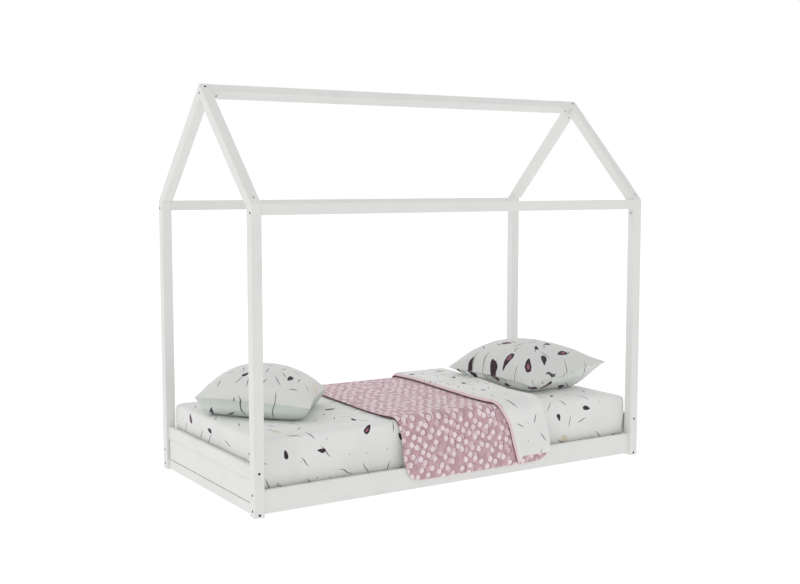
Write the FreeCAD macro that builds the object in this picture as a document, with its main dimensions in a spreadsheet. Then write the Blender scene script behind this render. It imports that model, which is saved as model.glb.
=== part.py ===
"""House frame bed: a low children's bed whose four posts carry a house-shaped frame of eaves and rafters.

Frame: millimetres, +Z up. X runs along the bed, Y across it, and the floor is Z = 0. The origin is on the
floor at the middle of the bed. "Front" is the side at -Y and "left" is the end at -X.

The bed is the same about both middle planes, so most pieces are built once, at the front left corner, and
mirrored to the others. The roof slopes at 45 degrees, because the ridge is a square bar stood on its edge
between the rafters, with its two upper faces in the plane of theirs.
"""
import FreeCAD
import Part
import math
import os
import re

Vector = FreeCAD.Vector
Rotation = FreeCAD.Rotation

# name: (millimetres, what it measures)
SIZES = {
    "bed_length": (2090, "over the posts, along X"),
    "bed_width": (1006, "over the posts, along Y"),
    "post_height": (1265, "floor to the top of the posts and eaves"),
    "post_side": (45, "side of the square posts, eaves, rafters and ridge"),
    "edge_round": (2, "rounding along the edges of the timbers"),
    "rail_height": (98, "height of a side rail"),
    "rail_lift": (10, "floor to the underside of a side rail"),
    "board_thick": (20, "thickness of the rails and end boards"),
    "board_inset": (12, "outer face of a post to the outer face of a rail"),
    "end_top": (203, "floor to the top of the end panel"),
    "end_cap_height": (59, "height of the end panel's top rail"),
    "end_foot_height": (45, "height of the end panel's bottom rail"),
    "end_foot_lift": (2, "floor to the underside of the bottom rail"),
    "infill_gap": (4, "open line under the infill board"),
    "infill_play": (8, "open line between the infill board and a post"),
    "slat_thick": (18, "thickness of a slat"),
    "slat_width": (80, "width of a slat, along X"),
    "slat_play": (2, "slat end to the side rail"),
    "slat_recess": (10, "top of the slats below the top of the side rails"),
    "cleat_height": (30, "height of a slat cleat"),
    "cleat_width": (25, "width of a slat cleat"),
    "cleat_play": (10, "cleat end to the post"),
    "bolt_radius": (3, "shank of the connector bolts"),
    "bolt_room": (0.25, "radial room for a bolt in its hole"),
    "head_radius": (5, "head of the connector bolts"),
    "head_height": (6, "head of the connector bolts"),
    "head_room": (0.5, "radial room for a head, and how deep it sits"),
    "socket_radius": (2.9, "corner radius of the hexagon socket"),
    "socket_depth": (3, "depth of the hexagon socket"),
    "nut_radius": (5, "barrel nut"),
    "nut_length": (13, "barrel nut"),
    "slot_width": (1, "screwdriver slot in a barrel nut's end"),
    "slot_depth": (1.5, "screwdriver slot in a barrel nut's end"),
    "nut_room": (0.1, "radial room for a barrel nut in its hole"),
    "nut_setback": (28, "end of a rail to the axis of its barrel nuts"),
    "bolt_tail": (3, "bolt end past its barrel nut"),
    "bolt_play": (1, "end of a bolt to the end of its hole"),
    "rail_bolt_inset": (22, "outer face of a post to the axis of a rail's bolts"),
    "rail_bolt_pitch": (66, "between the two bolts in the end of a side rail"),
    "cap_bolt_drop": (21, "top of the end panel to the bolts of its top rail"),
    "foot_bolt_height": (11, "floor to the bolts of the end panel's bottom rail"),
    "eave_bolt_inset": (13, "outer face of a post to the eave bolt"),
    "eave_bolt_drop": (35, "top of a post to the eave bolt"),
    "rafter_bolt_inset": (27, "outer face of a post to the rafter's foot bolt"),
    "rafter_bolt_seat": (15, "post top up to the seat of the foot bolt's head"),
    "rafter_nut_drop": (64, "post top down to the foot bolt's barrel nut"),
    "apex_bolt_inset": (17, "ridge line down the slope to the apex bolt"),
    "apex_nut_reach": (72, "outer face of the front rafter to the apex bolt's nut"),
    "ridge_bolt_drop": (39, "ridge line down to the ridge bolt"),
    "dowel_radius": (4, "wooden dowels"),
    "dowel_depth": (15, "how far a dowel goes into each piece"),
    "cap_dowel_drop": (22, "from the top rail's bolt down to its dowel"),
    "foot_dowel_rise": (20, "from the bottom rail's bolt up to its dowel"),
    "eave_dowel_inset": (32, "outer face of a post to the eave dowel"),
    "eave_dowel_drop": (14, "top of a post to the eave dowel"),
    "ridge_dowel_drop": (21, "ridge line down to the ridge dowel"),
    "screw_radius": (2, "shank of the countersunk screws"),
    "screw_head": (4, "radius of a screw's head"),
    "screw_head_height": (2.4, "height of a screw's cone"),
    "slat_screw_length": (32, "slat screws"),
    "cleat_screw_length": (38, "cleat screws"),
    "mattress_thick": (220, "height of the mattress"),
    "mattress_end_play": (13, "mattress end to the end panel"),
    "mattress_side_play": (8, "mattress side to the plane of the posts"),
    "mattress_round": (22, "rounding of the mattress's edges"),
    "mattress_corner": (14, "rounding of the mattress's upright corners"),
    "soft_gap": (0.4, "room between a soft piece and what it lies on"),
    "quilt_lie_thick": (11, "one layer of the quilt where it lies"),
    "quilt_flap_thick": (19, "the puffier folded part of the quilt where it lies"),
    "quilt_hang_thick": (5.6, "one layer of the quilt where it hangs"),
    "quilt_front_hem": (52, "floor to the quilt's front hem"),
    "quilt_flap_hem": (84, "floor to the front hem of the quilt's folded part"),
    "quilt_rear_hem": (140, "floor to the quilt's rear hem"),
    "pillow_draw": (22, "how far a pillow's side is drawn in at its seam"),
    "pillow_swell": (70, "how much rounder its sections grow from the seam to the crown"),
}

SLATS = 13
CLEAT_SCREWS = 6
INFILL_DOWELS = 4
HEXAGON = 6
# rings of a pillow: share of the seam's plan, share of the rise to the seam or from it to the crown, and how
# much of their bellies its sides have
LIMP_UNDERSIDE = ((0.52, 0.00, 0.0), (0.78, 0.55, 0.0), (1.00, 1.00, 0.0))
FULL_UNDERSIDE = ((0.80, 0.00, 0.8), (0.92, 0.38, 1.0), (1.00, 1.00, 0.0))
PILLOW_TOP = ((0.88, 0.42, 0.0), (0.62, 0.80, 0.0), (0.30, 1.00, 0.0))

# formulas that several pieces share
HALF_X = "bed_length / 2"
HALF_Y = "bed_width / 2"
INNER_X = "(bed_length / 2 - post_side)"
INNER_Y = "(bed_width / 2 - post_side)"
DIAGONAL = "(post_side * sqrt(2))"
RIDGE_TOP = "(post_height + bed_width / 2)"
SLAT_TOP = "(rail_lift + rail_height - slat_recess)"
CLEAT_TOP = "(rail_lift + rail_height - slat_recess - slat_thick)"
RAIL_INNER_Y = "(bed_width / 2 - board_inset - board_thick)"
RAIL_MIDDLE_Z = "(rail_lift + rail_height / 2)"
CAP_BOLT_Z = "(end_top - cap_bolt_drop)"
CAP_UNDERSIDE = "(end_top - end_cap_height)"
INFILL_BOTTOM = "(end_foot_lift + end_foot_height + infill_gap)"
EAVE_BOLT_Z = "(post_height - eave_bolt_drop)"
EAVE_BOLT_Y = "(-bed_width / 2 + eave_bolt_inset)"
RAIL_BOLT_Y = "(-bed_width / 2 + rail_bolt_inset)"
RAFTER_BOLT_Y = "(-bed_width / 2 + rafter_bolt_inset)"
NUT_BORE = "nut_radius + nut_room"
BOLT_BORE = "bolt_radius + bolt_room"
HEAD_BORE = "head_radius + head_room"
HEAD_SINK = "head_height + head_room"
BOLT_END = "nut_radius + bolt_tail + bolt_play"
SLOPE = "sqrt(2)"

# turns that send a piece's own +Z along each way
TURN = {
    "+X": Rotation(Vector(0, 1, 0), 90),
    "-X": Rotation(Vector(0, 1, 0), -90),
    "+Y": Rotation(Vector(1, 0, 0), -90),
    "-Y": Rotation(Vector(1, 0, 0), 90),
    "+Z": Rotation(),
    "-Z": Rotation(Vector(1, 0, 0), 180),
    "down the rear slope": Rotation(Vector(1, 0, 0), -135),
    "square to the rear slope": Rotation(Vector(1, 0, 0), -45),
}

doc = FreeCAD.newDocument("house_frame_bed")
sheet = doc.addObject("Spreadsheet::Sheet", "Sizes")
for row, (alias, (millimetres, meaning)) in enumerate(SIZES.items(), start=1):
    sheet.set(f"A{row}", alias)
    sheet.set(f"B{row}", str(millimetres))
    sheet.set(f"C{row}", meaning)
    sheet.setAlias(f"B{row}", alias)
doc.recompute()

nodes = []


def size(alias):
    """A size read back from the sheet."""
    return float(sheet.get(alias))


def bound(formula):
    """The formula with the name of each size pointed at its cell."""
    return re.sub(r"[a-z]\w*", lambda word: "Sizes." + word[0] if word[0] in SIZES else word[0], formula)


def bind(item, prop, formula):
    """Ties one property of an object to a formula of the sizes."""
    item.setExpression(prop, bound(formula))


def put(item, place, way="+Z"):
    """Turns an object to a way and ties its place to three formulas."""
    item.Placement = FreeCAD.Placement(Vector(), TURN[way])
    for letter, formula in zip("xyz", place):
        bind(item, f"Placement.Base.{letter}", formula)
    return item


def node(item):
    """Marks an object as one of the bed's pieces: its label is the name of its file."""
    nodes.append(item)
    return item


def block(name, extent, corner):
    """A squared block from its lowest corner."""
    item = doc.addObject("Part::Box", name)
    for prop, formula in zip(("Length", "Width", "Height"), extent):
        bind(item, prop, formula)
    return put(item, corner)


def rounded(item, name, along, radius):
    """The block with its edges along the given axes rounded."""
    doc.recompute()
    piece = doc.addObject("Part::Fillet", name)
    piece.Base = item
    chosen = []
    for number, edge in enumerate(item.Shape.Edges, start=1):
        run = edge.lastVertex().Point - edge.firstVertex().Point
        if max(range(3), key=lambda axis: abs(run[axis])) in along:
            chosen.append((number, radius, radius))
    piece.Edges = chosen
    return piece


def rod(name, radius, length, start, way):
    """A cylinder from its start, along a way: a shank, a dowel or a drill."""
    item = doc.addObject("Part::Cylinder", name)
    bind(item, "Radius", radius)
    bind(item, "Height", length)
    return put(item, start, way)


def cone(name, wide, narrow, length, start, way):
    """A cone that starts wide: the head of a countersunk screw, or its seat."""
    item = doc.addObject("Part::Cone", name)
    bind(item, "Radius1", wide)
    bind(item, "Radius2", narrow)
    bind(item, "Height", length)
    return put(item, start, way)


def joined(name, items):
    """The union of several objects, or the object itself if it is alone."""
    if len(items) == 1:
        return items[0]
    item = doc.addObject("Part::MultiFuse", name)
    item.Shapes = items
    return item


def drilled(name, piece, drills):
    """The piece with every drill taken out of it, checked to be smaller for it."""
    item = doc.addObject("Part::Cut", name)
    item.Base = piece
    item.Tool = joined(name + "_drills", drills)
    doc.recompute()
    if not item.Shape.Volume < piece.Shape.Volume:
        raise ValueError(f"{name}: the drills miss it")
    return item


def mirrored(name, item, normal):
    """The object's mirror image in the plane through the origin with that normal."""
    image = doc.addObject("Part::Mirroring", name)
    image.Source = item
    image.Normal = normal
    return image


def group(name, items):
    """Several separate solids as one object."""
    item = doc.addObject("Part::Compound", name)
    item.Links = items
    return item


def front_and_rear(name, items):
    """The items and their mirror images across the bed."""
    front = group(name + "_front", items)
    return [front, mirrored(name + "_rear", front, Vector(0, 1, 0))]


def left_and_right(name, items):
    """The items and their mirror images at the bed's other end, as one piece of the bed."""
    left = group(name + "_left", items)
    return node(group(name, [left, mirrored(name + "_right", left, Vector(1, 0, 0))]))


def bolt(name, length, seat, way):
    """A connector bolt: its head stands on the seat and its shank runs along the way."""
    shank = rod(name + "_shank", "bolt_radius", length, ("0", "0", "0"), "+Z")
    head = rod(name + "_head", "head_radius", "head_height", ("0", "0", "-head_height"), "+Z")
    socket = doc.addObject("Part::Prism", name + "_socket")
    socket.Polygon = HEXAGON
    bind(socket, "Circumradius", "socket_radius")
    bind(socket, "Height", "socket_depth")
    put(socket, ("0", "0", "-head_height"))
    return put(drilled(name, joined(name + "_blank", [shank, head]), [socket]), seat, way)


def bolt_hole(name, reach, seat, way, mouth):
    """The drills for a bolt: its shank's hole from the seat, and its head's seat out to the mouth."""
    shank = rod(name + "_hole", BOLT_BORE, reach, seat, way)
    counterbore = rod(name + "_sink", HEAD_BORE, HEAD_SINK, mouth, way)
    return [shank, counterbore]


def barrel_nut(name, middle, way, across="+X"):
    """A barrel nut: the bolt's hole crosses its middle, along its own X or Y, and a slot turns it."""
    body = rod(name + "_body", "nut_radius", "nut_length", ("0", "0", "-nut_length / 2"), "+Z")
    start = ("-nut_radius * 2", "0", "0") if across == "+X" else ("0", "-nut_radius * 2", "0")
    cross = rod(name + "_cross", "bolt_radius", "nut_radius * 4", start, across)
    slot = block(
        name + "_slot", ("slot_width", "nut_radius * 3", "slot_depth"),
        ("-slot_width / 2", "-nut_radius * 1.5", "-nut_length / 2"))
    return put(drilled(name, body, [cross, slot]), middle, way)


def screw(name, length, top, way):
    """A countersunk screw, its head's face at the top, running along the way."""
    head = cone(name + "_cone", "screw_head", "screw_radius", "screw_head_height", ("0", "0", "0"), "+Z")
    shank = rod(name + "_shank", "screw_radius", length, ("0", "0", "0"), "+Z")
    recess = rod(name + "_recess", "screw_radius / 2", "screw_head_height / 2", ("0", "0", "0"), "+Z")
    return put(drilled(name, joined(name + "_blank", [head, shank]), [recess]), top, way)


# ---- posts -----------------------------------------------------------------------------------------------

def make_posts():
    """The four corner posts, drilled for the rails, the eaves and the rafters' feet."""
    timber = rounded(
        block("post_timber", ("post_side", "post_side", "post_height"), (f"-{HALF_X}", f"-{HALF_Y}", "0")),
        "post_eased", {2}, size("edge_round"))
    left_face = f"-{HALF_X}"
    front_face = f"-{HALF_Y}"
    drills = []
    for tag, offset in (("low", "-"), ("high", "+")):
        height = f"{RAIL_MIDDLE_Z} {offset} rail_bolt_pitch / 2"
        drills += bolt_hole(
            f"post_side_{tag}", "post_side * 2", (left_face, RAIL_BOLT_Y, height), "+X",
            (left_face, RAIL_BOLT_Y, height))
    for tag, height in (("foot", "foot_bolt_height"), ("cap", CAP_BOLT_Z)):
        place = (f"-{HALF_X} + rail_bolt_inset", front_face, height)
        drills += bolt_hole(f"post_end_{tag}", "post_side * 2", place, "+Y", place)
    eave = (left_face, EAVE_BOLT_Y, EAVE_BOLT_Z)
    drills += bolt_hole("post_eave", "post_side * 2", eave, "+X", eave)
    drills.append(rod(
        "post_rafter_hole", BOLT_BORE, f"rafter_nut_drop + {BOLT_END}",
        (f"-{HALF_X} + post_side / 2", RAFTER_BOLT_Y, "post_height"), "-Z"))
    drills.append(rod(
        "post_rafter_nut_bore", NUT_BORE, "post_side / 2 + nut_length / 2",
        (f"-{INNER_X}", RAFTER_BOLT_Y, "post_height - rafter_nut_drop"), "-X"))
    drills += [
        rod("post_cap_dowel_hole", "dowel_radius", "dowel_depth",
            (f"-{HALF_X} + rail_bolt_inset", f"-{INNER_Y}", f"{CAP_BOLT_Z} - cap_dowel_drop"), "-Y"),
        rod("post_foot_dowel_hole", "dowel_radius", "dowel_depth",
            (f"-{HALF_X} + rail_bolt_inset", f"-{INNER_Y}", "foot_bolt_height + foot_dowel_rise"), "-Y"),
        rod("post_eave_dowel_hole", "dowel_radius", "dowel_depth",
            (f"-{INNER_X}", f"-{HALF_Y} + eave_dowel_inset", "post_height - eave_dowel_drop"), "-X"),
    ]
    front_left = node(drilled("post_front_left", timber, drills))
    rear_left = node(mirrored("post_rear_left", front_left, Vector(0, 1, 0)))
    node(mirrored("post_front_right", front_left, Vector(1, 0, 0)))
    node(mirrored("post_rear_right", rear_left, Vector(1, 0, 0)))


# ---- rails between the posts -------------------------------------------------------------------------------

def end_drills(name, height, across, nut_way, nut_mouth, nut_depth):
    """A bolt hole along X in the left end of a rail, and the bore of its barrel nut."""
    return [
        rod(name + "_hole", BOLT_BORE, f"nut_setback + {BOLT_END}", (f"-{INNER_X}", across, height), "+X"),
        rod(name + "_nut_bore", NUT_BORE, nut_depth, nut_mouth, nut_way),
    ]


def both_ends(name, drills):
    """The drills in a rail's left end, and their images in its right end."""
    left = joined(name + "_left_end", drills)
    return [left, mirrored(name + "_right_end", left, Vector(1, 0, 0))]


def make_side_rails():
    """The two side rails, with two bolts in each end and pilot holes for the cleat's screws."""
    board = rounded(
        block("side_rail_board", (f"2 * {INNER_X}", "board_thick", "rail_height"),
              (f"-{INNER_X}", f"-{HALF_Y} + board_inset", "rail_lift")),
        "side_rail_eased", {0}, size("edge_round"))
    drills = []
    for tag, offset in (("low", "-"), ("high", "+")):
        height = f"{RAIL_MIDDLE_Z} {offset} rail_bolt_pitch / 2"
        mouth = (f"-{INNER_X} + nut_setback", f"-{RAIL_INNER_Y}", height)
        depth = f"{RAIL_BOLT_Y} * -1 - {RAIL_INNER_Y} + nut_length / 2"
        drills += end_drills(f"side_rail_{tag}", height, RAIL_BOLT_Y, "-Y", mouth, depth)
    drills = both_ends("side_rail", drills)
    for number in range(CLEAT_SCREWS):
        drills.append(rod(
            f"side_rail_pilot_{number + 1}", "screw_radius", "cleat_screw_length - cleat_width",
            (cleat_screw_x(number), f"-{RAIL_INNER_Y}", f"{CLEAT_TOP} - cleat_height / 2"), "-Y"))
    front = node(drilled("side_rail_front", board, drills))
    node(mirrored("side_rail_rear", front, Vector(0, 1, 0)))


def make_eaves():
    """The two eave rails along the top of the posts, their barrel nuts let in from below."""
    timber = rounded(
        block("eave_timber", (f"2 * {INNER_X}", "post_side", "post_side"),
              (f"-{INNER_X}", f"-{HALF_Y}", "post_height - post_side")),
        "eave_eased", {0}, size("edge_round"))
    mouth = (f"-{INNER_X} + nut_setback", EAVE_BOLT_Y, "post_height - post_side")
    depth = "post_side - eave_bolt_drop + nut_length / 2"
    drills = end_drills("eave", EAVE_BOLT_Z, EAVE_BOLT_Y, "+Z", mouth, depth)
    drills.append(rod(
        "eave_dowel_hole", "dowel_radius", "dowel_depth",
        (f"-{INNER_X}", f"-{HALF_Y} + eave_dowel_inset", "post_height - eave_dowel_drop"), "+X"))
    front = node(drilled("eave_rail_front", timber, both_ends("eave", drills)))
    node(mirrored("eave_rail_rear", front, Vector(0, 1, 0)))


def make_ridge():
    """The ridge: a square bar on its edge, its barrel nuts let in through the lower front face."""
    profile = doc.addObject("Part::Box", "ridge_timber")
    bind(profile, "Length", f"2 * {INNER_X}")
    bind(profile, "Width", "post_side")
    bind(profile, "Height", "post_side")
    profile.Placement = FreeCAD.Placement(Vector(), Rotation(Vector(1, 0, 0), 45))
    bind(profile, "Placement.Base.x", f"-{INNER_X}")
    bind(profile, "Placement.Base.z", f"{RIDGE_TOP} - {DIAGONAL}")
    timber = rounded(profile, "ridge_eased", {0}, size("edge_round"))
    bolt_z = f"{RIDGE_TOP} - ridge_bolt_drop"
    rise = f"(({DIAGONAL} - ridge_bolt_drop) / 2)"
    mouth = (f"-{INNER_X} + nut_setback", f"-{rise}", f"{bolt_z} - {rise}")
    drills = [
        rod("ridge_hole", BOLT_BORE, f"nut_setback + {BOLT_END}", (f"-{INNER_X}", "0", bolt_z), "+X"),
        rod("ridge_nut_bore", NUT_BORE, f"{rise} * {SLOPE} + nut_length / 2", mouth,
            "square to the rear slope"),
        rod("ridge_dowel_hole", "dowel_radius", "dowel_depth",
            (f"-{INNER_X}", "0", f"{RIDGE_TOP} - ridge_dowel_drop"), "+X"),
    ]
    node(drilled("ridge_beam", timber, both_ends("ridge", drills)))


# ---- rafters -----------------------------------------------------------------------------------------------

def rafter_blank(name, side):
    """A rafter as a padded sketch: a level foot on the post, and an upright mitre at the ridge.

    side is -1 for the front rafter and 1 for the rear one.
    """
    body = doc.addObject("PartDesign::Body", name)
    sketch = body.newObject("Sketcher::SketchObject", name + "_outline")
    plane = [item for item in body.Origin.OriginFeatures if item.Role == "YZ_Plane"][0]
    sketch.AttachmentSupport = (plane, [""])
    sketch.MapMode = "FlatFace"
    half = size("bed_width") / 2
    foot = size("post_height")
    diagonal = size("post_side") * math.sqrt(2)
    corners = [
        Vector(side * half, foot, 0),
        Vector(0, foot + half, 0),
        Vector(0, foot + half - diagonal, 0),
        Vector(side * (half - diagonal), foot, 0),
    ]
    for start, end in zip(corners, corners[1:] + corners[:1]):
        sketch.addGeometry(Part.LineSegment(start, end), False)
    pad = body.newObject("PartDesign::Pad", name + "_pad")
    pad.Profile = sketch
    bind(pad, "Length", "post_side")
    doc.recompute()
    ease = body.newObject("PartDesign::Fillet", name + "_eased")
    sloping = []
    for number, edge in enumerate(pad.Shape.Edges, start=1):
        run = edge.lastVertex().Point - edge.firstVertex().Point
        if abs(run.y) > 1 and abs(run.z) > 1:
            sloping.append(f"Edge{number}")
    ease.Base = (pad, sloping)
    bind(ease, "Radius", "edge_round")
    body.Tip = ease
    bind(body, "Placement.Base.x", f"-{HALF_X}")
    doc.recompute()
    return body


def foot_drills(name, side):
    """The foot bolt's hole, and a sink for its head from above the slope."""
    middle = f"-{HALF_X} + post_side / 2"
    across = RAFTER_BOLT_Y if side < 0 else f"-{RAFTER_BOLT_Y}"
    seat = "post_height + rafter_bolt_seat"
    return [
        rod(name + "_foot_hole", BOLT_BORE, "rafter_bolt_seat * 2", (middle, across, "post_height"), "+Z"),
        rod(name + "_foot_sink", HEAD_BORE, "post_side", (middle, across, seat), "+Z"),
    ]


def make_rafters():
    """The four rafters: mitred in pairs at the ridge, each pair drawn together by the apex bolt."""
    middle = f"-{HALF_X} + post_side / 2"
    inset = f"(apex_bolt_inset / {SLOPE})"
    entry = (middle, f"-{inset}", f"{RIDGE_TOP} - {inset}")
    ridge_hole = rod("gable_ridge_hole", BOLT_BORE, "post_side * 2",
                     (f"-{HALF_X}", "0", f"{RIDGE_TOP} - ridge_bolt_drop"), "+X")
    ridge_sink = rod("gable_ridge_sink", HEAD_BORE, HEAD_SINK,
                     (f"-{HALF_X}", "0", f"{RIDGE_TOP} - ridge_bolt_drop"), "+X")
    ridge_dowel = rod("gable_dowel_hole", "dowel_radius", "dowel_depth",
                      (f"-{INNER_X}", "0", f"{RIDGE_TOP} - ridge_dowel_drop"), "-X")
    apex_hole = rod("apex_hole", BOLT_BORE, f"apex_nut_reach + {BOLT_END}", entry, "down the rear slope")
    apex_sink = rod("apex_sink", HEAD_BORE, HEAD_SINK, entry, "down the rear slope")
    reach = f"((apex_nut_reach / {SLOPE}))"
    depth = "(post_side - apex_bolt_inset)"
    apex_nut_mouth = (middle, f"-{inset} + {reach} - {depth} / {SLOPE}",
                      f"{RIDGE_TOP} - {inset} - {reach} - {depth} / {SLOPE}")
    apex_nut_bore = rod("apex_nut_bore", NUT_BORE, f"{depth} + nut_length / 2", apex_nut_mouth,
                        "square to the rear slope")
    shared = [ridge_hole, ridge_sink, ridge_dowel, apex_hole]
    front = node(drilled("rafter_front_left", rafter_blank("rafter_front_blank", -1),
                         foot_drills("rafter_front", -1) + shared + [apex_sink]))
    rear = node(drilled("rafter_rear_left", rafter_blank("rafter_rear_blank", 1),
                        foot_drills("rafter_rear", 1) + shared + [apex_nut_bore]))
    node(mirrored("rafter_front_right", front, Vector(1, 0, 0)))
    node(mirrored("rafter_rear_right", rear, Vector(1, 0, 0)))
    return entry, (middle, f"-{inset} + {reach}", f"{RIDGE_TOP} - {inset} - {reach}")


# ---- end panels --------------------------------------------------------------------------------------------

def infill_dowel_y(number):
    """The place of one of the dowels between the top rail and the infill board."""
    return f"({INNER_Y} * 2 * {(number + 0.5) / INFILL_DOWELS} - {INNER_Y})"


def make_end_panels():
    """Both end panels: a top rail, an infill board dowelled up into it, and a bottom rail."""
    outer = f"-{HALF_X} + board_inset"
    width = f"2 * {INNER_Y}"
    axis = f"-{HALF_X} + rail_bolt_inset"
    inner = f"-{HALF_X} + board_inset + board_thick"
    nut_depth = "board_inset + board_thick - rail_bolt_inset + nut_length / 2"
    boards = (
        ("cap", "end_top_rail", CAP_UNDERSIDE, "end_cap_height", CAP_BOLT_Z,
         f"{CAP_BOLT_Z} - cap_dowel_drop"),
        ("foot", "end_bottom_rail", "end_foot_lift", "end_foot_height", "foot_bolt_height",
         "foot_bolt_height + foot_dowel_rise"),
    )
    for tag, name, bottom, height, bolt_z, dowel_z in boards:
        board = rounded(
            block(f"end_{tag}_board", ("board_thick", width, height), (outer, f"-{INNER_Y}", bottom)),
            f"end_{tag}_eased", {1}, size("edge_round"))
        front = joined(f"end_{tag}_front_end", [
            rod(f"end_{tag}_hole", BOLT_BORE, f"nut_setback + {BOLT_END}",
                (axis, f"-{INNER_Y}", bolt_z), "+Y"),
            rod(f"end_{tag}_nut_bore", NUT_BORE, nut_depth,
                (inner, f"-{INNER_Y} + nut_setback", bolt_z), "-X"),
            rod(f"end_{tag}_dowel_hole", "dowel_radius", "dowel_depth", (axis, f"-{INNER_Y}", dowel_z), "+Y"),
        ])
        drills = [front, mirrored(f"end_{tag}_rear_end", front, Vector(0, 1, 0))]
        if tag == "cap":
            drills += [
                rod(f"end_cap_infill_hole_{number + 1}", "dowel_radius", "dowel_depth",
                    (axis, infill_dowel_y(number), CAP_UNDERSIDE), "+Z")
                for number in range(INFILL_DOWELS)
            ]
        left = node(drilled(f"{name}_left", board, drills))
        node(mirrored(f"{name}_right", left, Vector(1, 0, 0)))
    half = f"({INNER_Y} - infill_play)"
    infill = rounded(
        block("end_infill_board", ("board_thick", f"2 * {half}", f"{CAP_UNDERSIDE} - {INFILL_BOTTOM}"),
              (outer, f"-{half}", INFILL_BOTTOM)),
        "end_infill_eased", {1}, size("edge_round") / 2)
    holes = [
        rod(f"end_infill_hole_{number + 1}", "dowel_radius", "dowel_depth",
            (axis, infill_dowel_y(number), CAP_UNDERSIDE), "-Z")
        for number in range(INFILL_DOWELS)
    ]
    left = node(drilled("end_infill_left", infill, holes))
    node(mirrored("end_infill_right", left, Vector(1, 0, 0)))


# ---- slatted base ------------------------------------------------------------------------------------------

def slat_x(number):
    """The middle of a slat: the slats are spaced evenly, with half a space at each end."""
    return f"(2 * {INNER_X} * {(number + 0.5) / SLATS} - {INNER_X})"


def cleat_screw_x(number):
    """The place of a cleat's screw, between two slats."""
    share = (number * 2 + 2) / (CLEAT_SCREWS * 2 + 1)
    return f"(2 * {INNER_X} * {round(share * SLATS) / SLATS} - {INNER_X})"


def slat_screw_y():
    """The line of the slats' screws, over the middle of the cleat."""
    return f"({RAIL_INNER_Y} - cleat_width / 2)"


def make_base():
    """The cleats along the side rails, and the slats that lie across them."""
    cleat = rounded(
        block("cleat_timber", (f"2 * ({INNER_X} - cleat_play)", "cleat_width", "cleat_height"),
              (f"-({INNER_X} - cleat_play)", f"-{RAIL_INNER_Y}", f"{CLEAT_TOP} - cleat_height")),
        "cleat_eased", {0}, size("edge_round"))
    drills = []
    for number in range(CLEAT_SCREWS):
        middle = f"{CLEAT_TOP} - cleat_height / 2"
        face = f"-{RAIL_INNER_Y} + cleat_width"
        drills.append(rod(f"cleat_hole_{number + 1}", "screw_radius", "cleat_width * 2",
                          (cleat_screw_x(number), face, middle), "-Y"))
        drills.append(cone(f"cleat_sink_{number + 1}", "screw_head", "screw_radius", "screw_head_height",
                           (cleat_screw_x(number), face, middle), "-Y"))
    for number in range(SLATS):
        drills.append(rod(f"cleat_pilot_{number + 1}", "screw_radius", "slat_screw_length - slat_thick",
                          (slat_x(number), f"-{slat_screw_y()}", CLEAT_TOP), "-Z"))
    front = node(drilled("slat_cleat_front", cleat, drills))
    node(mirrored("slat_cleat_rear", front, Vector(0, 1, 0)))
    for number in range(SLATS):
        name = f"slat_{number + 1:02d}"
        half = f"({RAIL_INNER_Y} - slat_play)"
        board = rounded(
            block(name + "_board", ("slat_width", f"2 * {half}", "slat_thick"),
                  (f"{slat_x(number)} - slat_width / 2", f"-{half}", CLEAT_TOP)),
            name + "_eased", {1}, size("edge_round"))
        hole = rod(name + "_hole", "screw_radius", "slat_thick * 2",
                   (slat_x(number), f"-{slat_screw_y()}", SLAT_TOP), "-Z")
        sink = cone(name + "_sink", "screw_head", "screw_radius", "screw_head_height",
                    (slat_x(number), f"-{slat_screw_y()}", SLAT_TOP), "-Z")
        near = joined(name + "_near_drills", [hole, sink])
        node(drilled(name, board, [near, mirrored(name + "_far_drills", near, Vector(0, 1, 0))]))


# ---- fasteners ---------------------------------------------------------------------------------------------

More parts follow.
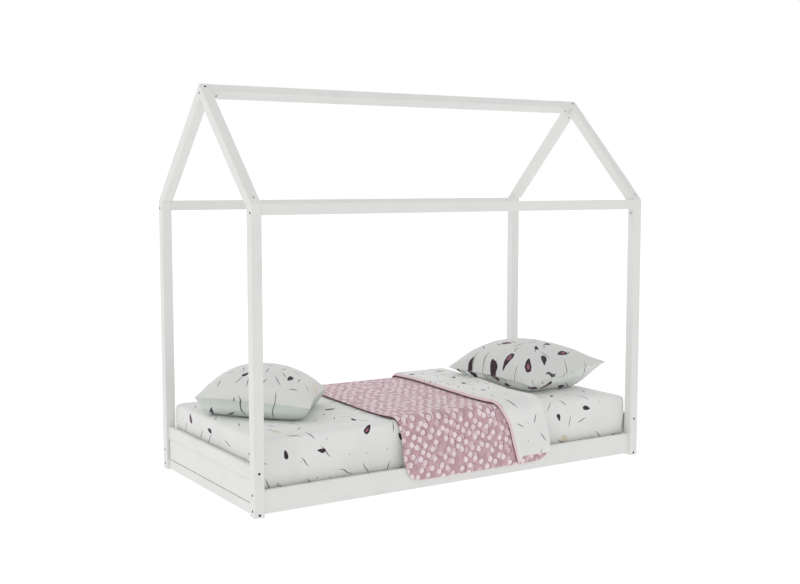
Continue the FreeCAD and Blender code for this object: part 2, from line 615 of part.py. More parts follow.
def make_fasteners(apex_entry, apex_nut_middle):
    """Every bolt, barrel nut, dowel and screw, in groups of a kind."""
    sunk = "head_height + head_room"
    left_seat = f"-{HALF_X} + {sunk}"
    front_seat = f"-{HALF_Y} + {sunk}"
    rail_heights = [
        ("low", f"{RAIL_MIDDLE_Z} - rail_bolt_pitch / 2"),
        ("high", f"{RAIL_MIDDLE_Z} + rail_bolt_pitch / 2"),
    ]
    rail_reach = "post_side - head_height - head_room + nut_setback + nut_radius + bolt_tail"
    left_and_right("side_rail_bolts", front_and_rear("side_rail_bolts", [
        bolt(f"side_rail_bolt_{tag}", rail_reach, (left_seat, RAIL_BOLT_Y, height), "+X")
        for tag, height in rail_heights]))
    left_and_right("side_rail_barrel_nuts", front_and_rear("side_rail_barrel_nuts", [
        barrel_nut(f"side_rail_nut_{tag}", (f"-{INNER_X} + nut_setback", RAIL_BOLT_Y, height), "-Y")
        for tag, height in rail_heights]))
    end_heights = [("cap", CAP_BOLT_Z), ("foot", "foot_bolt_height")]
    axis = f"-{HALF_X} + rail_bolt_inset"
    left_and_right("end_rail_bolts", front_and_rear("end_rail_bolts", [
        bolt(f"end_rail_bolt_{tag}", rail_reach, (axis, front_seat, height), "+Y")
        for tag, height in end_heights]))
    left_and_right("end_rail_barrel_nuts", front_and_rear("end_rail_barrel_nuts", [
        barrel_nut(f"end_rail_nut_{tag}", (axis, f"-{INNER_Y} + nut_setback", height), "-X", "+Y")
        for tag, height in end_heights]))
    left_and_right("eave_bolts", front_and_rear("eave_bolts", [
        bolt("eave_bolt", rail_reach, (left_seat, EAVE_BOLT_Y, EAVE_BOLT_Z), "+X")]))
    left_and_right("eave_barrel_nuts", front_and_rear("eave_barrel_nuts", [
        barrel_nut("eave_nut", (f"-{INNER_X} + nut_setback", EAVE_BOLT_Y, EAVE_BOLT_Z), "+Z")]))
    post_middle = f"-{HALF_X} + post_side / 2"
    left_and_right("rafter_foot_bolts", front_and_rear("rafter_foot_bolts", [
        bolt("rafter_foot_bolt", "rafter_bolt_seat + rafter_nut_drop + nut_radius + bolt_tail",
             (post_middle, RAFTER_BOLT_Y, "post_height + rafter_bolt_seat"), "-Z")]))
    left_and_right("rafter_foot_barrel_nuts", front_and_rear("rafter_foot_barrel_nuts", [
        barrel_nut("rafter_foot_nut", (post_middle, RAFTER_BOLT_Y, "post_height - rafter_nut_drop"), "-X")]))
    x, y, z = apex_entry
    step = f"(({sunk}) / {SLOPE})"
    left_and_right("apex_bolts", [
        bolt("apex_bolt", f"apex_nut_reach - ({sunk}) + nut_radius + bolt_tail",
             (x, f"{y} + {step}", f"{z} - {step}"), "down the rear slope")])
    left_and_right("apex_barrel_nuts", [
        barrel_nut("apex_nut", apex_nut_middle, "square to the rear slope", "+Y")])
    bolt_z = f"{RIDGE_TOP} - ridge_bolt_drop"
    left_and_right("ridge_bolts", [bolt("ridge_bolt", rail_reach, (left_seat, "0", bolt_z), "+X")])
    left_and_right("ridge_barrel_nuts", [
        barrel_nut("ridge_nut", (f"-{INNER_X} + nut_setback", "0", bolt_z), "square to the rear slope")])
    left_and_right("rail_dowels", front_and_rear("rail_dowels", [
        rod("cap_dowel", "dowel_radius", "dowel_depth * 2",
            (axis, f"-{INNER_Y} - dowel_depth", f"{CAP_BOLT_Z} - cap_dowel_drop"), "+Y"),
        rod("foot_dowel", "dowel_radius", "dowel_depth * 2",
            (axis, f"-{INNER_Y} - dowel_depth", "foot_bolt_height + foot_dowel_rise"), "+Y"),
        rod("eave_dowel", "dowel_radius", "dowel_depth * 2",
            (f"-{INNER_X} - dowel_depth", f"-{HALF_Y} + eave_dowel_inset", "post_height - eave_dowel_drop"),
            "+X"),
    ]))
    left_and_right("ridge_dowels", [
        rod("ridge_dowel", "dowel_radius", "dowel_depth * 2",
            (f"-{INNER_X} - dowel_depth", "0", f"{RIDGE_TOP} - ridge_dowel_drop"), "+X")])
    left_and_right("infill_dowels", [
        rod(f"infill_dowel_{number + 1}", "dowel_radius", "dowel_depth * 2",
            (axis, infill_dowel_y(number), f"{CAP_UNDERSIDE} - dowel_depth"), "+Z")
        for number in range(INFILL_DOWELS)])
    node(group("cleat_screws", front_and_rear("cleat_screws", [
        screw(f"cleat_screw_{number + 1}", "cleat_screw_length",
              (cleat_screw_x(number), f"-{RAIL_INNER_Y} + cleat_width", f"{CLEAT_TOP} - cleat_height / 2"),
              "-Y")
        for number in range(CLEAT_SCREWS)])))
    node(group("slat_screws", front_and_rear("slat_screws", [
        screw(f"slat_screw_{number + 1}", "slat_screw_length",
              (slat_x(number), f"-{slat_screw_y()}", SLAT_TOP), "-Z") for number in range(SLATS)])))


# ---- bedding -----------------------------------------------------------------------------------------------

def mattress_top():
    """The height of the mattress's top above the floor."""
    slats = size("rail_lift") + size("rail_height") - size("slat_recess")
    return slats + size("soft_gap") + size("mattress_thick")


def make_mattress():
    """The mattress: a padded block with soft edges, a hair above the slats."""
    half_length = f"({HALF_X} - board_inset - board_thick - mattress_end_play)"
    half_width = f"({INNER_Y} - mattress_side_play)"
    pad = block("mattress_pad", (f"2 * {half_length}", f"2 * {half_width}", "mattress_thick"),
                (f"-{half_length}", f"-{half_width}", f"{SLAT_TOP} + soft_gap"))
    upright = rounded(pad, "mattress_upright", {2}, size("mattress_corner"))
    doc.recompute()
    soft = doc.addObject("Part::Fillet", "mattress")
    soft.Base = upright
    levels = (pad.Shape.BoundBox.ZMin, pad.Shape.BoundBox.ZMax)
    chosen = []
    for number, edge in enumerate(upright.Shape.Edges, start=1):
        box = edge.BoundBox
        if box.ZLength < 0.01 and min(abs(box.ZMin - level) for level in levels) < 0.01:
            chosen.append((number, size("mattress_round"), size("mattress_round")))
    soft.Edges = chosen
    node(soft)


def pillow_ring(corners, crown, share, heights, bellies):
    """One ring of a pillow, its corners joined by arcs: drawn in at the seam, rounder towards the crown."""
    centre = sum(corners, Vector()) * 0.25
    middle_of_ring = centre + (crown - centre) * (1 - share)
    points = []
    for corner, height in zip(corners, heights):
        plan = middle_of_ring + (corner - centre) * share
        points.append(Vector(plan.x, plan.y, height))
    draw = size("pillow_draw") - (1 - share) * size("pillow_swell")
    edges = []
    for start, end, belly in zip(points, points[1:] + points[:1], bellies):
        middle = (start + end) * 0.5
        inward = Vector(middle_of_ring.x - middle.x, middle_of_ring.y - middle.y, 0).normalize()
        edges.append(Part.Arc(start, middle + inward * (draw - belly), end).toShape())
    return Part.Wire(edges)


def make_pillow(name, corners, crown, underside, bellies=(0, 0, 0, 0)):
    """A filled pillow: flat where it lies, crowned in the middle, and with a belly under each side's seam."""
    floor = mattress_top() + size("soft_gap")
    seam = [corner.z for corner in corners]
    wires = []
    for share, rise, full in underside:
        heights = [floor + (height - floor) * rise for height in seam]
        wires.append(pillow_ring(corners, crown, share, heights, [belly * full for belly in bellies]))
    for share, rise, full in PILLOW_TOP:
        heights = [height + (crown.z - height) * rise for height in seam]
        wires.append(pillow_ring(corners, crown, share, heights, [belly * full for belly in bellies]))
    piece = doc.addObject("Part::Feature", name)
    piece.Shape = Part.makeLoft(wires, True, False)
    node(piece)


def make_pillows():
    """A full pillow laid cornerwise at the left end, and a larger, limper one at the right end."""
    top = mattress_top()
    left = -size("bed_length") / 2
    right = size("bed_length") / 2
    rear = size("bed_width") / 2
    small = [
        Vector(left + 7, rear - 373, top + 78),
        Vector(left + 348, rear - 833, top + 66),
        Vector(left + 631, rear - 468, top + 72),
        Vector(left + 305, rear - 31, top + 78),
    ]
    wide = size("pillow_swell")
    make_pillow("pillow_left", small, Vector(left + 327, rear - 438, top + 207), FULL_UNDERSIDE,
                (wide, wide * 0.3, wide * 0.3, wide * 0.3))
    large = [
        Vector(right - 538, rear - 836, top + 50),
        Vector(right - 79, rear - 855, top + 134),
        Vector(right - 171, rear - 283, top + 140),
        Vector(right - 630, rear - 264, top + 74),
    ]
    make_pillow("pillow_right", large, Vector(right - 300, rear - 470, top + 222), LIMP_UNDERSIDE)


def offset_line(points, distances):
    """A line of straight runs, each run moved to its left by its own distance, in a Y-Z plane."""
    normals = []
    for start, end in zip(points, points[1:]):
        run = (end - start).normalize()
        normals.append(Vector(0, -run.z, run.y))
    moved = [points[0] + normals[0] * distances[0]]
    for index in range(1, len(points) - 1):
        before, after = normals[index - 1], normals[index]
        share = before.dot(after)
        step = (before - after * share) * distances[index - 1] + (after - before * share) * distances[index]
        moved.append(points[index] + step * (1 / (1 - share * share)))
    moved.append(points[-1] + normals[-1] * distances[-1])
    return moved


def soft_line(points, radii):
    """Edges along a line of straight runs, each inner corner turned by an arc."""
    edges = []
    start = points[0]
    for corner, before_it, after_it, radius in zip(points[1:-1], points, points[2:], radii):
        back = (before_it - corner).normalize()
        ahead = (after_it - corner).normalize()
        half = math.acos(back.dot(ahead)) / 2
        entry = corner + back * (radius / math.tan(half))
        leave = corner + ahead * (radius / math.tan(half))
        middle = corner + (back + ahead).normalize() * (radius / math.sin(half) - radius)
        edges.append(Part.LineSegment(start, entry).toShape())
        edges.append(Part.Arc(entry, middle, leave).toShape())
        start = leave
    edges.append(Part.LineSegment(start, points[-1]).toShape())
    return edges


def quilt_layer(base, outer):
    """One layer of quilt, as long as the bed: the band between two lines of straight runs."""
    tight = size("mattress_round")
    edges = soft_line(base, [tight * 2, tight, tight])
    edges += soft_line(outer, [tight * 2 + size("quilt_hang_thick"), tight * 1.5, tight * 1.5])
    edges.append(Part.LineSegment(base[0], outer[0]).toShape())
    edges.append(Part.LineSegment(base[-1], outer[-1]).toShape())
    face = Part.Face(Part.Wire(Part.sortEdges(edges)[0]))
    face.translate(Vector(-size("bed_length") / 2, 0, 0))
    return face.extrude(Vector(size("bed_length"), 0, 0))


def quilt_outline(stations, side, top):
    """A cutter with the quilt's outline, given its left and right X at the front hem, front edge and rear."""
    hem, front, rear = stations
    deep = size("bed_width") / 2
    tall = size("post_height")
    plan = [Vector(front[0], -side, 0), Vector(front[1], -side, 0),
            Vector(rear[1], deep, 0), Vector(rear[0], deep, 0)]
    drop = [Vector(hem[0], -side, 0), Vector(front[0], -side, top), Vector(front[0], -side, tall),
            Vector(front[1], -side, tall), Vector(front[1], -side, top), Vector(hem[1], -side, 0)]
    laid = Part.Face(Part.makePolygon(plan + plan[:1])).extrude(Vector(0, 0, tall))
    hung = Part.Face(Part.makePolygon(drop + drop[:1])).extrude(Vector(0, side - deep, 0))
    return laid.fuse(hung)


def make_quilt():
    """The quilt: laid askew over the middle of the mattress, its right part folded back over itself."""
    gap = size("soft_gap")
    hang = size("quilt_hang_thick")
    lie = size("quilt_lie_thick")
    flap = size("quilt_flap_thick")
    rail_face = size("bed_width") / 2 - size("board_inset") + gap
    rail_top = size("rail_lift") + size("rail_height")
    side = size("bed_width") / 2 - size("post_side") - size("mattress_side_play") + gap
    top = mattress_top() + gap
    base = [
        Vector(0, -rail_face, size("quilt_front_hem")),
        Vector(0, -rail_face, rail_top + gap),
        Vector(0, -side, top),
        Vector(0, side, top),
        Vector(0, side, size("quilt_rear_hem")),
    ]
    middle = offset_line(base, [hang, (hang + lie) / 2, lie, hang])
    outer = offset_line(middle, [hang, (hang + flap) / 2, flap, hang])
    left = -size("bed_length") / 2
    fold = (left + 1523, left + 1478, left + 1550)
    edge = (left + 752, left + 690, left + 730)
    flap_edge = (left + 1345, left + 1238, left + 1290)
    lower = quilt_layer(base, middle).common(quilt_outline(zip(edge, fold), side, top))
    middle[0].z = size("quilt_flap_hem")
    outer[0].z = size("quilt_flap_hem")
    upper = quilt_layer(middle, outer).common(quilt_outline(zip(flap_edge, fold), side, top))
    piece = doc.addObject("Part::Feature", "quilt")
    piece.Shape = lower.fuse(upper).removeSplitter()
    node(piece)


make_posts()
make_side_rails()
make_eaves()
make_ridge()
entry_place, nut_place = make_rafters()
make_end_panels()
make_base()
make_fasteners(entry_place, nut_place)
make_mattress()
make_pillows()
make_quilt()
doc.recompute()

for item in doc.Objects:
    if "Invalid" in item.State or "Error" in item.State:
        raise RuntimeError(f"{item.Label}: {item.State}")
for item in nodes:
    if item.Shape.isNull() or not item.Shape.isValid() or not item.Shape.Solids:
        raise RuntimeError(f"{item.Label}: its shape is not a valid solid")

os.makedirs("parts", exist_ok=True)
for item in nodes:
    solids = item.Shape.Solids
    shape = solids[0] if len(solids) == 1 else Part.makeCompound(solids)
    shape.exportStep(f"parts/{item.Label}.step")
print(len(nodes), "pieces,", sum(len(item.Shape.Solids) for item in nodes), "solids")
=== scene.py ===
"""House frame bed for a child: finishes for its timber and fastenings, and its bedding, made up and lit."""

import logging
import math
from dataclasses import dataclass
from enum import Enum
from typing import List, Mapping, NamedTuple, Optional, Sequence, Tuple, Union

import bpy
import numpy as np
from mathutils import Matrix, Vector, noise


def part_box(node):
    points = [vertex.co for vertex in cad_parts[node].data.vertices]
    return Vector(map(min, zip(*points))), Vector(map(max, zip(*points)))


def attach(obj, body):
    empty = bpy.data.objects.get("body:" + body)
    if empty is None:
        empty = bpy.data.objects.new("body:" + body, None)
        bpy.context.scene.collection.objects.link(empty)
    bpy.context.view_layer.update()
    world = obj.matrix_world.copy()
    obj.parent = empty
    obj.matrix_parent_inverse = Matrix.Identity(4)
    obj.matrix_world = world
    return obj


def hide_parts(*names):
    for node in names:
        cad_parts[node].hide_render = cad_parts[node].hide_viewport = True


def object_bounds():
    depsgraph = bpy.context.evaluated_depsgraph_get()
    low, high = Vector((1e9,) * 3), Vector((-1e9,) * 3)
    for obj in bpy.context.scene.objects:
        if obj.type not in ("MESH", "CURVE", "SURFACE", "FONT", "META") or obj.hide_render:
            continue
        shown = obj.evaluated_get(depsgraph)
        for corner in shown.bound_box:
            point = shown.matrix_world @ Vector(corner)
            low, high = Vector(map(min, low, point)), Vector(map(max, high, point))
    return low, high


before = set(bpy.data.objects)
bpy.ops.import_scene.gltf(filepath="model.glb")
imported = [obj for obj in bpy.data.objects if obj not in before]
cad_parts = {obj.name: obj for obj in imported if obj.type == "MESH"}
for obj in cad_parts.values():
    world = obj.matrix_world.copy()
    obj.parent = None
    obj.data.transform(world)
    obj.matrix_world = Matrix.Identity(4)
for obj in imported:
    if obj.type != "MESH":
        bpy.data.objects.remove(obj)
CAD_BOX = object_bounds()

log = logging.getLogger("bed")

Triple = Tuple[float, float, float]
Colour = Tuple[float, float, float, float]
Value = Union["Wire", bpy.types.NodeSocket, float, Tuple[float, ...]]

SIM_FRAMES = 20
CLOTH_MAP = "cloth"
WHITE: Colour = (1.0, 1.0, 1.0, 1.0)
TINY = 1e-9


def tint(red: int, green: int, blue: int) -> Colour:
    """A screen colour of 0 to 255 as linear light.

    Args:
        red: Red share of the colour.
        green: Green share of the colour.
        blue: Blue share of the colour.

    Returns:
        The linear colour, opaque.
    """
    shares = (value / 255 for value in (red, green, blue))
    linear = [share / 12.92 if share < 0.04045 else ((share + 0.055) / 1.055) ** 2.4 for share in shares]
    return (*linear, 1.0)


# ---------------------------------------------------------------- shader maths


class Wire:
    """One socket of a material's nodes, on which Python's operators add Math nodes."""

    def __init__(self, graph: "Graph", socket: bpy.types.NodeSocket) -> None:
        """Hold the socket and the graph that new nodes go to."""
        self.graph = graph
        self.socket = socket

    def math(self, operation: str, *others: Value) -> "Wire":
        """Add a Math node whose first value is this one.

        Args:
            operation: The Math node's operation.
            others: Its further values.

        Returns:
            The result.
        """
        return self.graph.add("ShaderNodeMath", {"operation": operation}, dict(enumerate((self, *others))))

    def _after(self, operation: str, other: Value) -> "Wire":
        """Add a Math node whose second value is this one."""
        return self.graph.add("ShaderNodeMath", {"operation": operation}, {0: other, 1: self})

    def __add__(self, other: Value) -> "Wire":
        """Sum."""
        return self.math("ADD", other)

    def __radd__(self, other: Value) -> "Wire":
        """Sum, with a number first."""
        return self._after("ADD", other)

    def __sub__(self, other: Value) -> "Wire":
        """Difference."""
        return self.math("SUBTRACT", other)

    def __rsub__(self, other: Value) -> "Wire":
        """Difference, with a number first."""
        return self._after("SUBTRACT", other)

    def __mul__(self, other: Value) -> "Wire":
        """Product."""
        return self.math("MULTIPLY", other)

    def __rmul__(self, other: Value) -> "Wire":
        """Product, with a number first."""
        return self._after("MULTIPLY", other)

    def __truediv__(self, other: Value) -> "Wire":
        """Quotient."""
        return self.math("DIVIDE", other)

    def __abs__(self) -> "Wire":
        """Size without sign."""
        return self.math("ABSOLUTE")

    def __gt__(self, other: Value) -> "Wire":
        """1 where this is greater, else 0."""
        return self.math("GREATER_THAN", other)

    def root(self) -> "Wire":
        """Square root."""
        return self.math("SQRT")

    def ramp(self, low: float, high: float) -> "Wire":
        """Ease this value from 0 at low to 1 at high, where low may be the greater.

        Args:
            low: The value that gives 0.
            high: The value that gives 1.

        Returns:
            The eased share.
        """
        sockets = {"Value": self, "From Min": low, "From Max": high}
        return self.graph.add("ShaderNodeMapRange", {"interpolation_type": "SMOOTHSTEP"}, sockets)


class Spot(NamedTuple):
    """A motif's own place in its cell, in metres from its middle, and three chances from 0 to 1."""

    x: Wire
    y: Wire
    one: Wire
    two: Wire
    three: Wire


class Graph:
    """The nodes of one material, which end in one surface shader."""

    def __init__(self, name: str) -> None:
        """Start a material with a surface shader and its output.

        Args:
            name: The material's name.
        """
        self.material = bpy.data.materials.new(name)
        self.material.use_nodes = True
        self.material.node_tree.nodes.clear()
        self.surface = self.node("ShaderNodeBsdfPrincipled")
        self.node("ShaderNodeOutputMaterial", inputs={"Surface": self.surface.outputs[0]})

    def node(
        self,
        kind: str,
        settings: Optional[Mapping[str, object]] = None,
        inputs: Optional[Mapping[Union[int, str], Value]] = None,
    ) -> bpy.types.Node:
        """Add a node of any kind.

        Args:
            kind: The node's type.
            settings: Its settings, with a ramp's stops as pairs of a place and a colour.
            inputs: Values or links, by the number or name of the socket.

        Returns:
            The node.
        """
        made = self.material.node_tree.nodes.new(kind)
        for key, value in (settings or {}).items():
            setattr(made, key, value)
        for key, value in (inputs or {}).items():
            self.feed(made.inputs[key], value)
        return made

    def feed(self, socket: bpy.types.NodeSocket, value: Value) -> None:
        """Link a wire or socket to an input, or set a plain value on it.

        Args:
            socket: The input.
            value: What it gets.
        """
        if isinstance(value, Wire):
            value = value.socket
        if isinstance(value, bpy.types.NodeSocket):
            self.material.node_tree.links.new(value, socket)
        else:
            socket.default_value = value

    def add(
        self,
        kind: str,
        settings: Optional[Mapping[str, object]] = None,
        inputs: Optional[Mapping[Union[int, str], Value]] = None,
        output: Union[int, str] = 0,
    ) -> Wire:
        """Add a node of any kind and take one output.

        Args:
            kind: The node's type.
            settings: Its settings.
            inputs: Values or links, by socket.
            output: The output to take.

        Returns:
            That output.
        """
        return Wire(self, self.node(kind, settings, inputs).outputs[output])

    def vector(self, operation: str, *values: Value) -> Wire:
        """Add a Vector Math node.

        Args:
            operation: The node's operation.
            values: Its vectors.

        Returns:
            The resulting vector.
        """
        return self.add("ShaderNodeVectorMath", {"operation": operation}, dict(enumerate(values)))

    def parts(self, vector: Value) -> Tuple[Wire, Wire, Wire]:
        """Split a vector or colour into its three values.

        Args:
            vector: The vector or colour.

        Returns:
            Its three values.
        """
        made = self.node("ShaderNodeSeparateXYZ", inputs={0: vector})
        return tuple(Wire(self, socket) for socket in made.outputs)

    def blend(self, share: Value, first: Value, second: Value) -> Wire:
        """Mix two colours.

        Args:
            share: How much of the second colour there is.
            first: The first colour.
            second: The second colour.

        Returns:
            The mixed colour.
        """
        sockets = {0: share, 6: first, 7: second}
        return self.add("ShaderNodeMix", {"data_type": "RGBA"}, sockets, output=2)

    def cloud(self, place: Value, scale: float, detail: float = 2.0, plane: bool = False) -> Wire:
        """Smooth noise from 0 to 1.

        Args:
            place: Where it is read.
            scale: Its lumps to the metre.
            detail: How many finer layers it has.
            plane: Whether it varies in two directions only.

        Returns:
            The noise.
        """
        settings = {"noise_dimensions": "2D" if plane else "3D"}
        return self.add("ShaderNodeTexNoise", settings, {"Vector": place, "Scale": scale, "Detail": detail})

    def strewn(
        self, place: Value, pitch: float, shift: Triple, loose: float = 0.7, turned: bool = True
    ) -> Spot:
        """Strew motifs over a plane, one to a cell.

        Args:
            place: The place on the plane, in metres.
            pitch: The usual distance between motifs, in metres.
            shift: Moves this layer of motifs clear of the others.
            loose: How far motifs stray from rows, from 0 to 1.
            turned: Whether each motif has a direction of its own.

        Returns:
            The place within the motif, and its chances.
        """
        moved = self.vector("ADD", place, shift)
        sockets = {"Vector": moved, "Scale": 1 / pitch, "Randomness": loose}
        cell = self.node("ShaderNodeTexVoronoi", {"voronoi_dimensions": "2D"}, sockets)
        one, two, three = self.parts(cell.outputs["Color"])
        local = self.vector("SUBTRACT", moved, cell.outputs["Position"])
        if turned:
            sockets = {"Vector": local, "Angle": one * math.tau}
            local = self.add("ShaderNodeVectorRotate", {"rotation_type": "Z_AXIS"}, sockets)
        x, y, _ = self.parts(local)
        return Spot(x, y, one, two, three)

    def finish(
        self,
        colour: Value,
        roughness: Value,
        height: Optional[Wire] = None,
        relief: float = 0.0,
        **constants: float,
    ) -> bpy.types.Material:
        """Connect the surface shader.

        Args:
            colour: Base colour.
            roughness: Roughness.
            height: Relief from 0 to 1, or none.
            relief: The depth of the relief in metres.
            constants: Sockets of the shader that are the same all over, with _ for a space.

        Returns:
            The material.
        """
        self.feed(self.surface.inputs["Base Color"], colour)
        self.feed(self.surface.inputs["Roughness"], roughness)
        if height is not None:
            bump = self.add("ShaderNodeBump", inputs={"Height": height, "Distance": relief, "Strength": 1.0})
            self.feed(self.surface.inputs["Normal"], bump)
        for key, value in constants.items():
            self.surface.inputs[key.replace("_", " ")].default_value = value
        return self.material


# ---------------------------------------------------------------- finishes


class Grain(Enum):
    """The way a timber's grain runs, as the turn about X, Y and Z that stands it upright."""

    UPRIGHT = (0.0, 0.0, 0.0)
    LENGTHWISE = (0.0, -math.pi / 2, 0.0)
    CROSSWISE = (math.pi / 2, 0.0, 0.0)
    FRONT_SLOPE = (math.pi / 4, 0.0, 0.0)
    REAR_SLOPE = (-math.pi / 4, 0.0, 0.0)


class Wood(NamedTuple):
    """What shows in a piece of pine, each from 0 to 1."""

    rings: Wire
    fibre: Wire
    knots: Wire


def drawn_out(graph: Graph, place: Value, share: float) -> Wire:
    """Shrink a place upwards, so that a pattern read there is drawn out along Z.

    Args:
        graph: The material's graph.
        place: The place.
        share: How much of its height it keeps.

    Returns:
        The new place.
    """
    return graph.vector("MULTIPLY", place, (1.0, 1.0, share))


@dataclass(frozen=True)
class Pine:
    """The figure of pine: how far it is drawn out along the grain, and how many lumps it has to the metre."""

    ring_draw: float = 0.04
    ring_scale: float = 11.0
    rings_to_lump: float = 7.0
    fibre_draw: float = 0.03
    fibre_scale: float = 240.0
    knot_draw: float = 0.42
    knot_scale: float = 6.5
    knot_scatter: float = 0.9
    knot_outline_scale: float = 60.0
    knot_outline: float = 0.05
    knot_edge: float = 0.13
    knot_core: float = 0.03
    knot_rarity: float = 0.45

    def figure(self, graph: Graph, grain: Grain) -> Wood:
        """Draw the figure in the piece's own coordinates.

        Args:
            graph: The material's graph.
            grain: The way the grain runs.

        Returns:
            Growth rings, fine fibre and knots.
        """
        coordinates = graph.node("ShaderNodeTexCoord").outputs["Object"]
        upright = graph.add("ShaderNodeMapping", inputs={"Vector": coordinates, "Rotation": grain.value})
        growth = graph.cloud(drawn_out(graph, upright, self.ring_draw), self.ring_scale, 0.0)
        rings = (growth * self.rings_to_lump).math("PINGPONG", 1.0)
        fibre = graph.cloud(drawn_out(graph, upright, self.fibre_draw), self.fibre_scale, 1.0)
        flattened = drawn_out(graph, upright, self.knot_draw)
        sockets = {"Vector": flattened, "Scale": self.knot_scale, "Randomness": self.knot_scatter}
        cell = graph.node("ShaderNodeTexVoronoi", inputs=sockets)
        _, rare, _ = graph.parts(cell.outputs["Color"])
        outline = (graph.cloud(upright, self.knot_outline_scale) - 0.5) * self.knot_outline
        reach = Wire(graph, cell.outputs["Distance"]) + outline
        return Wood(rings, fibre, reach.ramp(self.knot_edge, self.knot_core) * (rare > self.knot_rarity))


@dataclass(frozen=True)
class PaintedPine:
    """White paint brushed on pine, thin enough for the grain and knots to show faintly."""

    grain: Grain
    paint: Colour = tint(230, 230, 228)
    thin_paint: Colour = tint(225, 225, 223)
    over_knot: Colour = tint(217, 216, 212)
    patch_scale: float = 9.0
    thin_from: float = 0.3
    thin_to: float = 0.85
    knots_shown: float = 0.5
    roughness: float = 0.46
    relief: float = 0.00005
    gloss: float = 0.08
    gloss_roughness: float = 0.4

    def material(self) -> bpy.types.Material:
        """Make the finish.

        Returns:
            The material.
        """
        graph = Graph(f"painted_pine_{self.grain.name.lower()}")
        wood = Pine().figure(graph, self.grain)
        place = graph.node("ShaderNodeTexCoord").outputs["Object"]
        patches = graph.cloud(place, self.patch_scale, 1.0)
        cover = patches * 0.7 + wood.fibre * 0.1 + wood.rings * 0.12
        colour = graph.blend(cover.ramp(self.thin_from, self.thin_to), self.paint, self.thin_paint)
        colour = graph.blend(wood.knots * self.knots_shown, colour, self.over_knot)
        roughness = self.roughness + wood.fibre * 0.1 + patches * 0.08
        height = wood.fibre * 0.5 + wood.rings * 0.4 + wood.knots * 0.6
        coat = {"Coat_Weight": self.gloss, "Coat_Roughness": self.gloss_roughness}
        return graph.finish(colour, roughness, height, self.relief, **coat)


@dataclass(frozen=True)
class BarePine:
    """Planed pine without a finish."""

    grain: Grain
    early: Colour = tint(216, 205, 186)
    late: Colour = tint(200, 184, 160)
    knot: Colour = tint(126, 82, 48)
    late_from: float = 0.35
    late_to: float = 1.05
    roughness: float = 0.55
    relief: float = 0.0004

    def material(self) -> bpy.types.Material:
        """Make the finish.

        Returns:
            The material.
        """
        graph = Graph(f"bare_pine_{self.grain.name.lower()}")
        wood = Pine().figure(graph, self.grain)
        growth = wood.rings * 0.75 + wood.fibre * 0.35
        colour = graph.blend(growth.ramp(self.late_from, self.late_to), self.early, self.late)
        colour = graph.blend(wood.knots, colour, self.knot)
        height = wood.fibre * 0.7 + wood.rings * 0.3
        return graph.finish(colour, self.roughness + wood.fibre * 0.2, height, self.relief)


@dataclass(frozen=True)
class Beech:
    """Fluted beech dowel."""

    light: Colour = tint(222, 190, 150)
    dark: Colour = tint(190, 146, 104)
    fleck_scale: float = 900.0
    roughness: float = 0.5
    relief: float = 0.0002

    def material(self) -> bpy.types.Material:
        """Make the finish.

        Returns:
            The material.
        """
        graph = Graph("beech")
        place = graph.node("ShaderNodeTexCoord").outputs["Object"]
        fleck = graph.cloud(place, self.fleck_scale, 3.0)
        colour = graph.blend(fleck.ramp(0.35, 0.7), self.light, self.dark)
        return graph.finish(colour, self.roughness + fleck * 0.2, fleck, self.relief)


@dataclass(frozen=True)
class Metal:
    """Turned or pressed metal with a fine bloom, and scuffs where a key or a driver has slipped."""

    name: str
    clean: Colour
    worn: Colour
    metallic: float
    roughness: float
    bloom_scale: float = 260.0
    scuff_scale: float = 1500.0
    scuff_draw: float = 0.2
    scuff_from: float = 0.62
    scuff_to: float = 0.75
    relief: float = 0.00008

    def material(self) -> bpy.types.Material:
        """Make the finish.

        Returns:
            The material.
        """
        graph = Graph(self.name)
        place = graph.node("ShaderNodeTexCoord").outputs["Object"]
        bloom = graph.cloud(place, self.bloom_scale, 4.0)
        scuffed = graph.cloud(drawn_out(graph, place, self.scuff_draw), self.scuff_scale, 2.0)
        scuffs = scuffed.ramp(self.scuff_from, self.scuff_to)
        colour = graph.blend(scuffs * 0.7 + bloom * 0.2, self.clean, self.worn)
        roughness = self.roughness + bloom * 0.18
        height = bloom * 0.5 + scuffs * 0.5
        return graph.finish(colour, roughness, height, self.relief, Metallic=self.metallic)


def cloth_place(graph: Graph) -> bpy.types.NodeSocket:
    """The place on the cloth, in metres, from the piece's own map."""
    return graph.node("ShaderNodeUVMap", {"uv_map": CLOTH_MAP}).outputs[0]


def waves_along(along: Wire, pitch: float) -> Wire:
    """A sine wave from -1 to 1 with one crest to each pitch along a place."""
    return (along * (math.tau / pitch)).math("SINE")


def weave(graph: Graph, place: Value, thread: float) -> Wire:
    """The threads of a plain weave, over and under.

    Args:
        graph: The material's graph.
        place: The place on the cloth, in metres.
        thread: The distance between threads, in metres.

    Returns:
        The height of the cloth, from 0 to 1.
    """
    across, along, _ = graph.parts(place)
    warp = (across * (math.pi / thread)).math("SINE")
    weft = (along * (math.pi / thread)).math("SINE")
    return (warp * weft) * 0.5 + 0.5


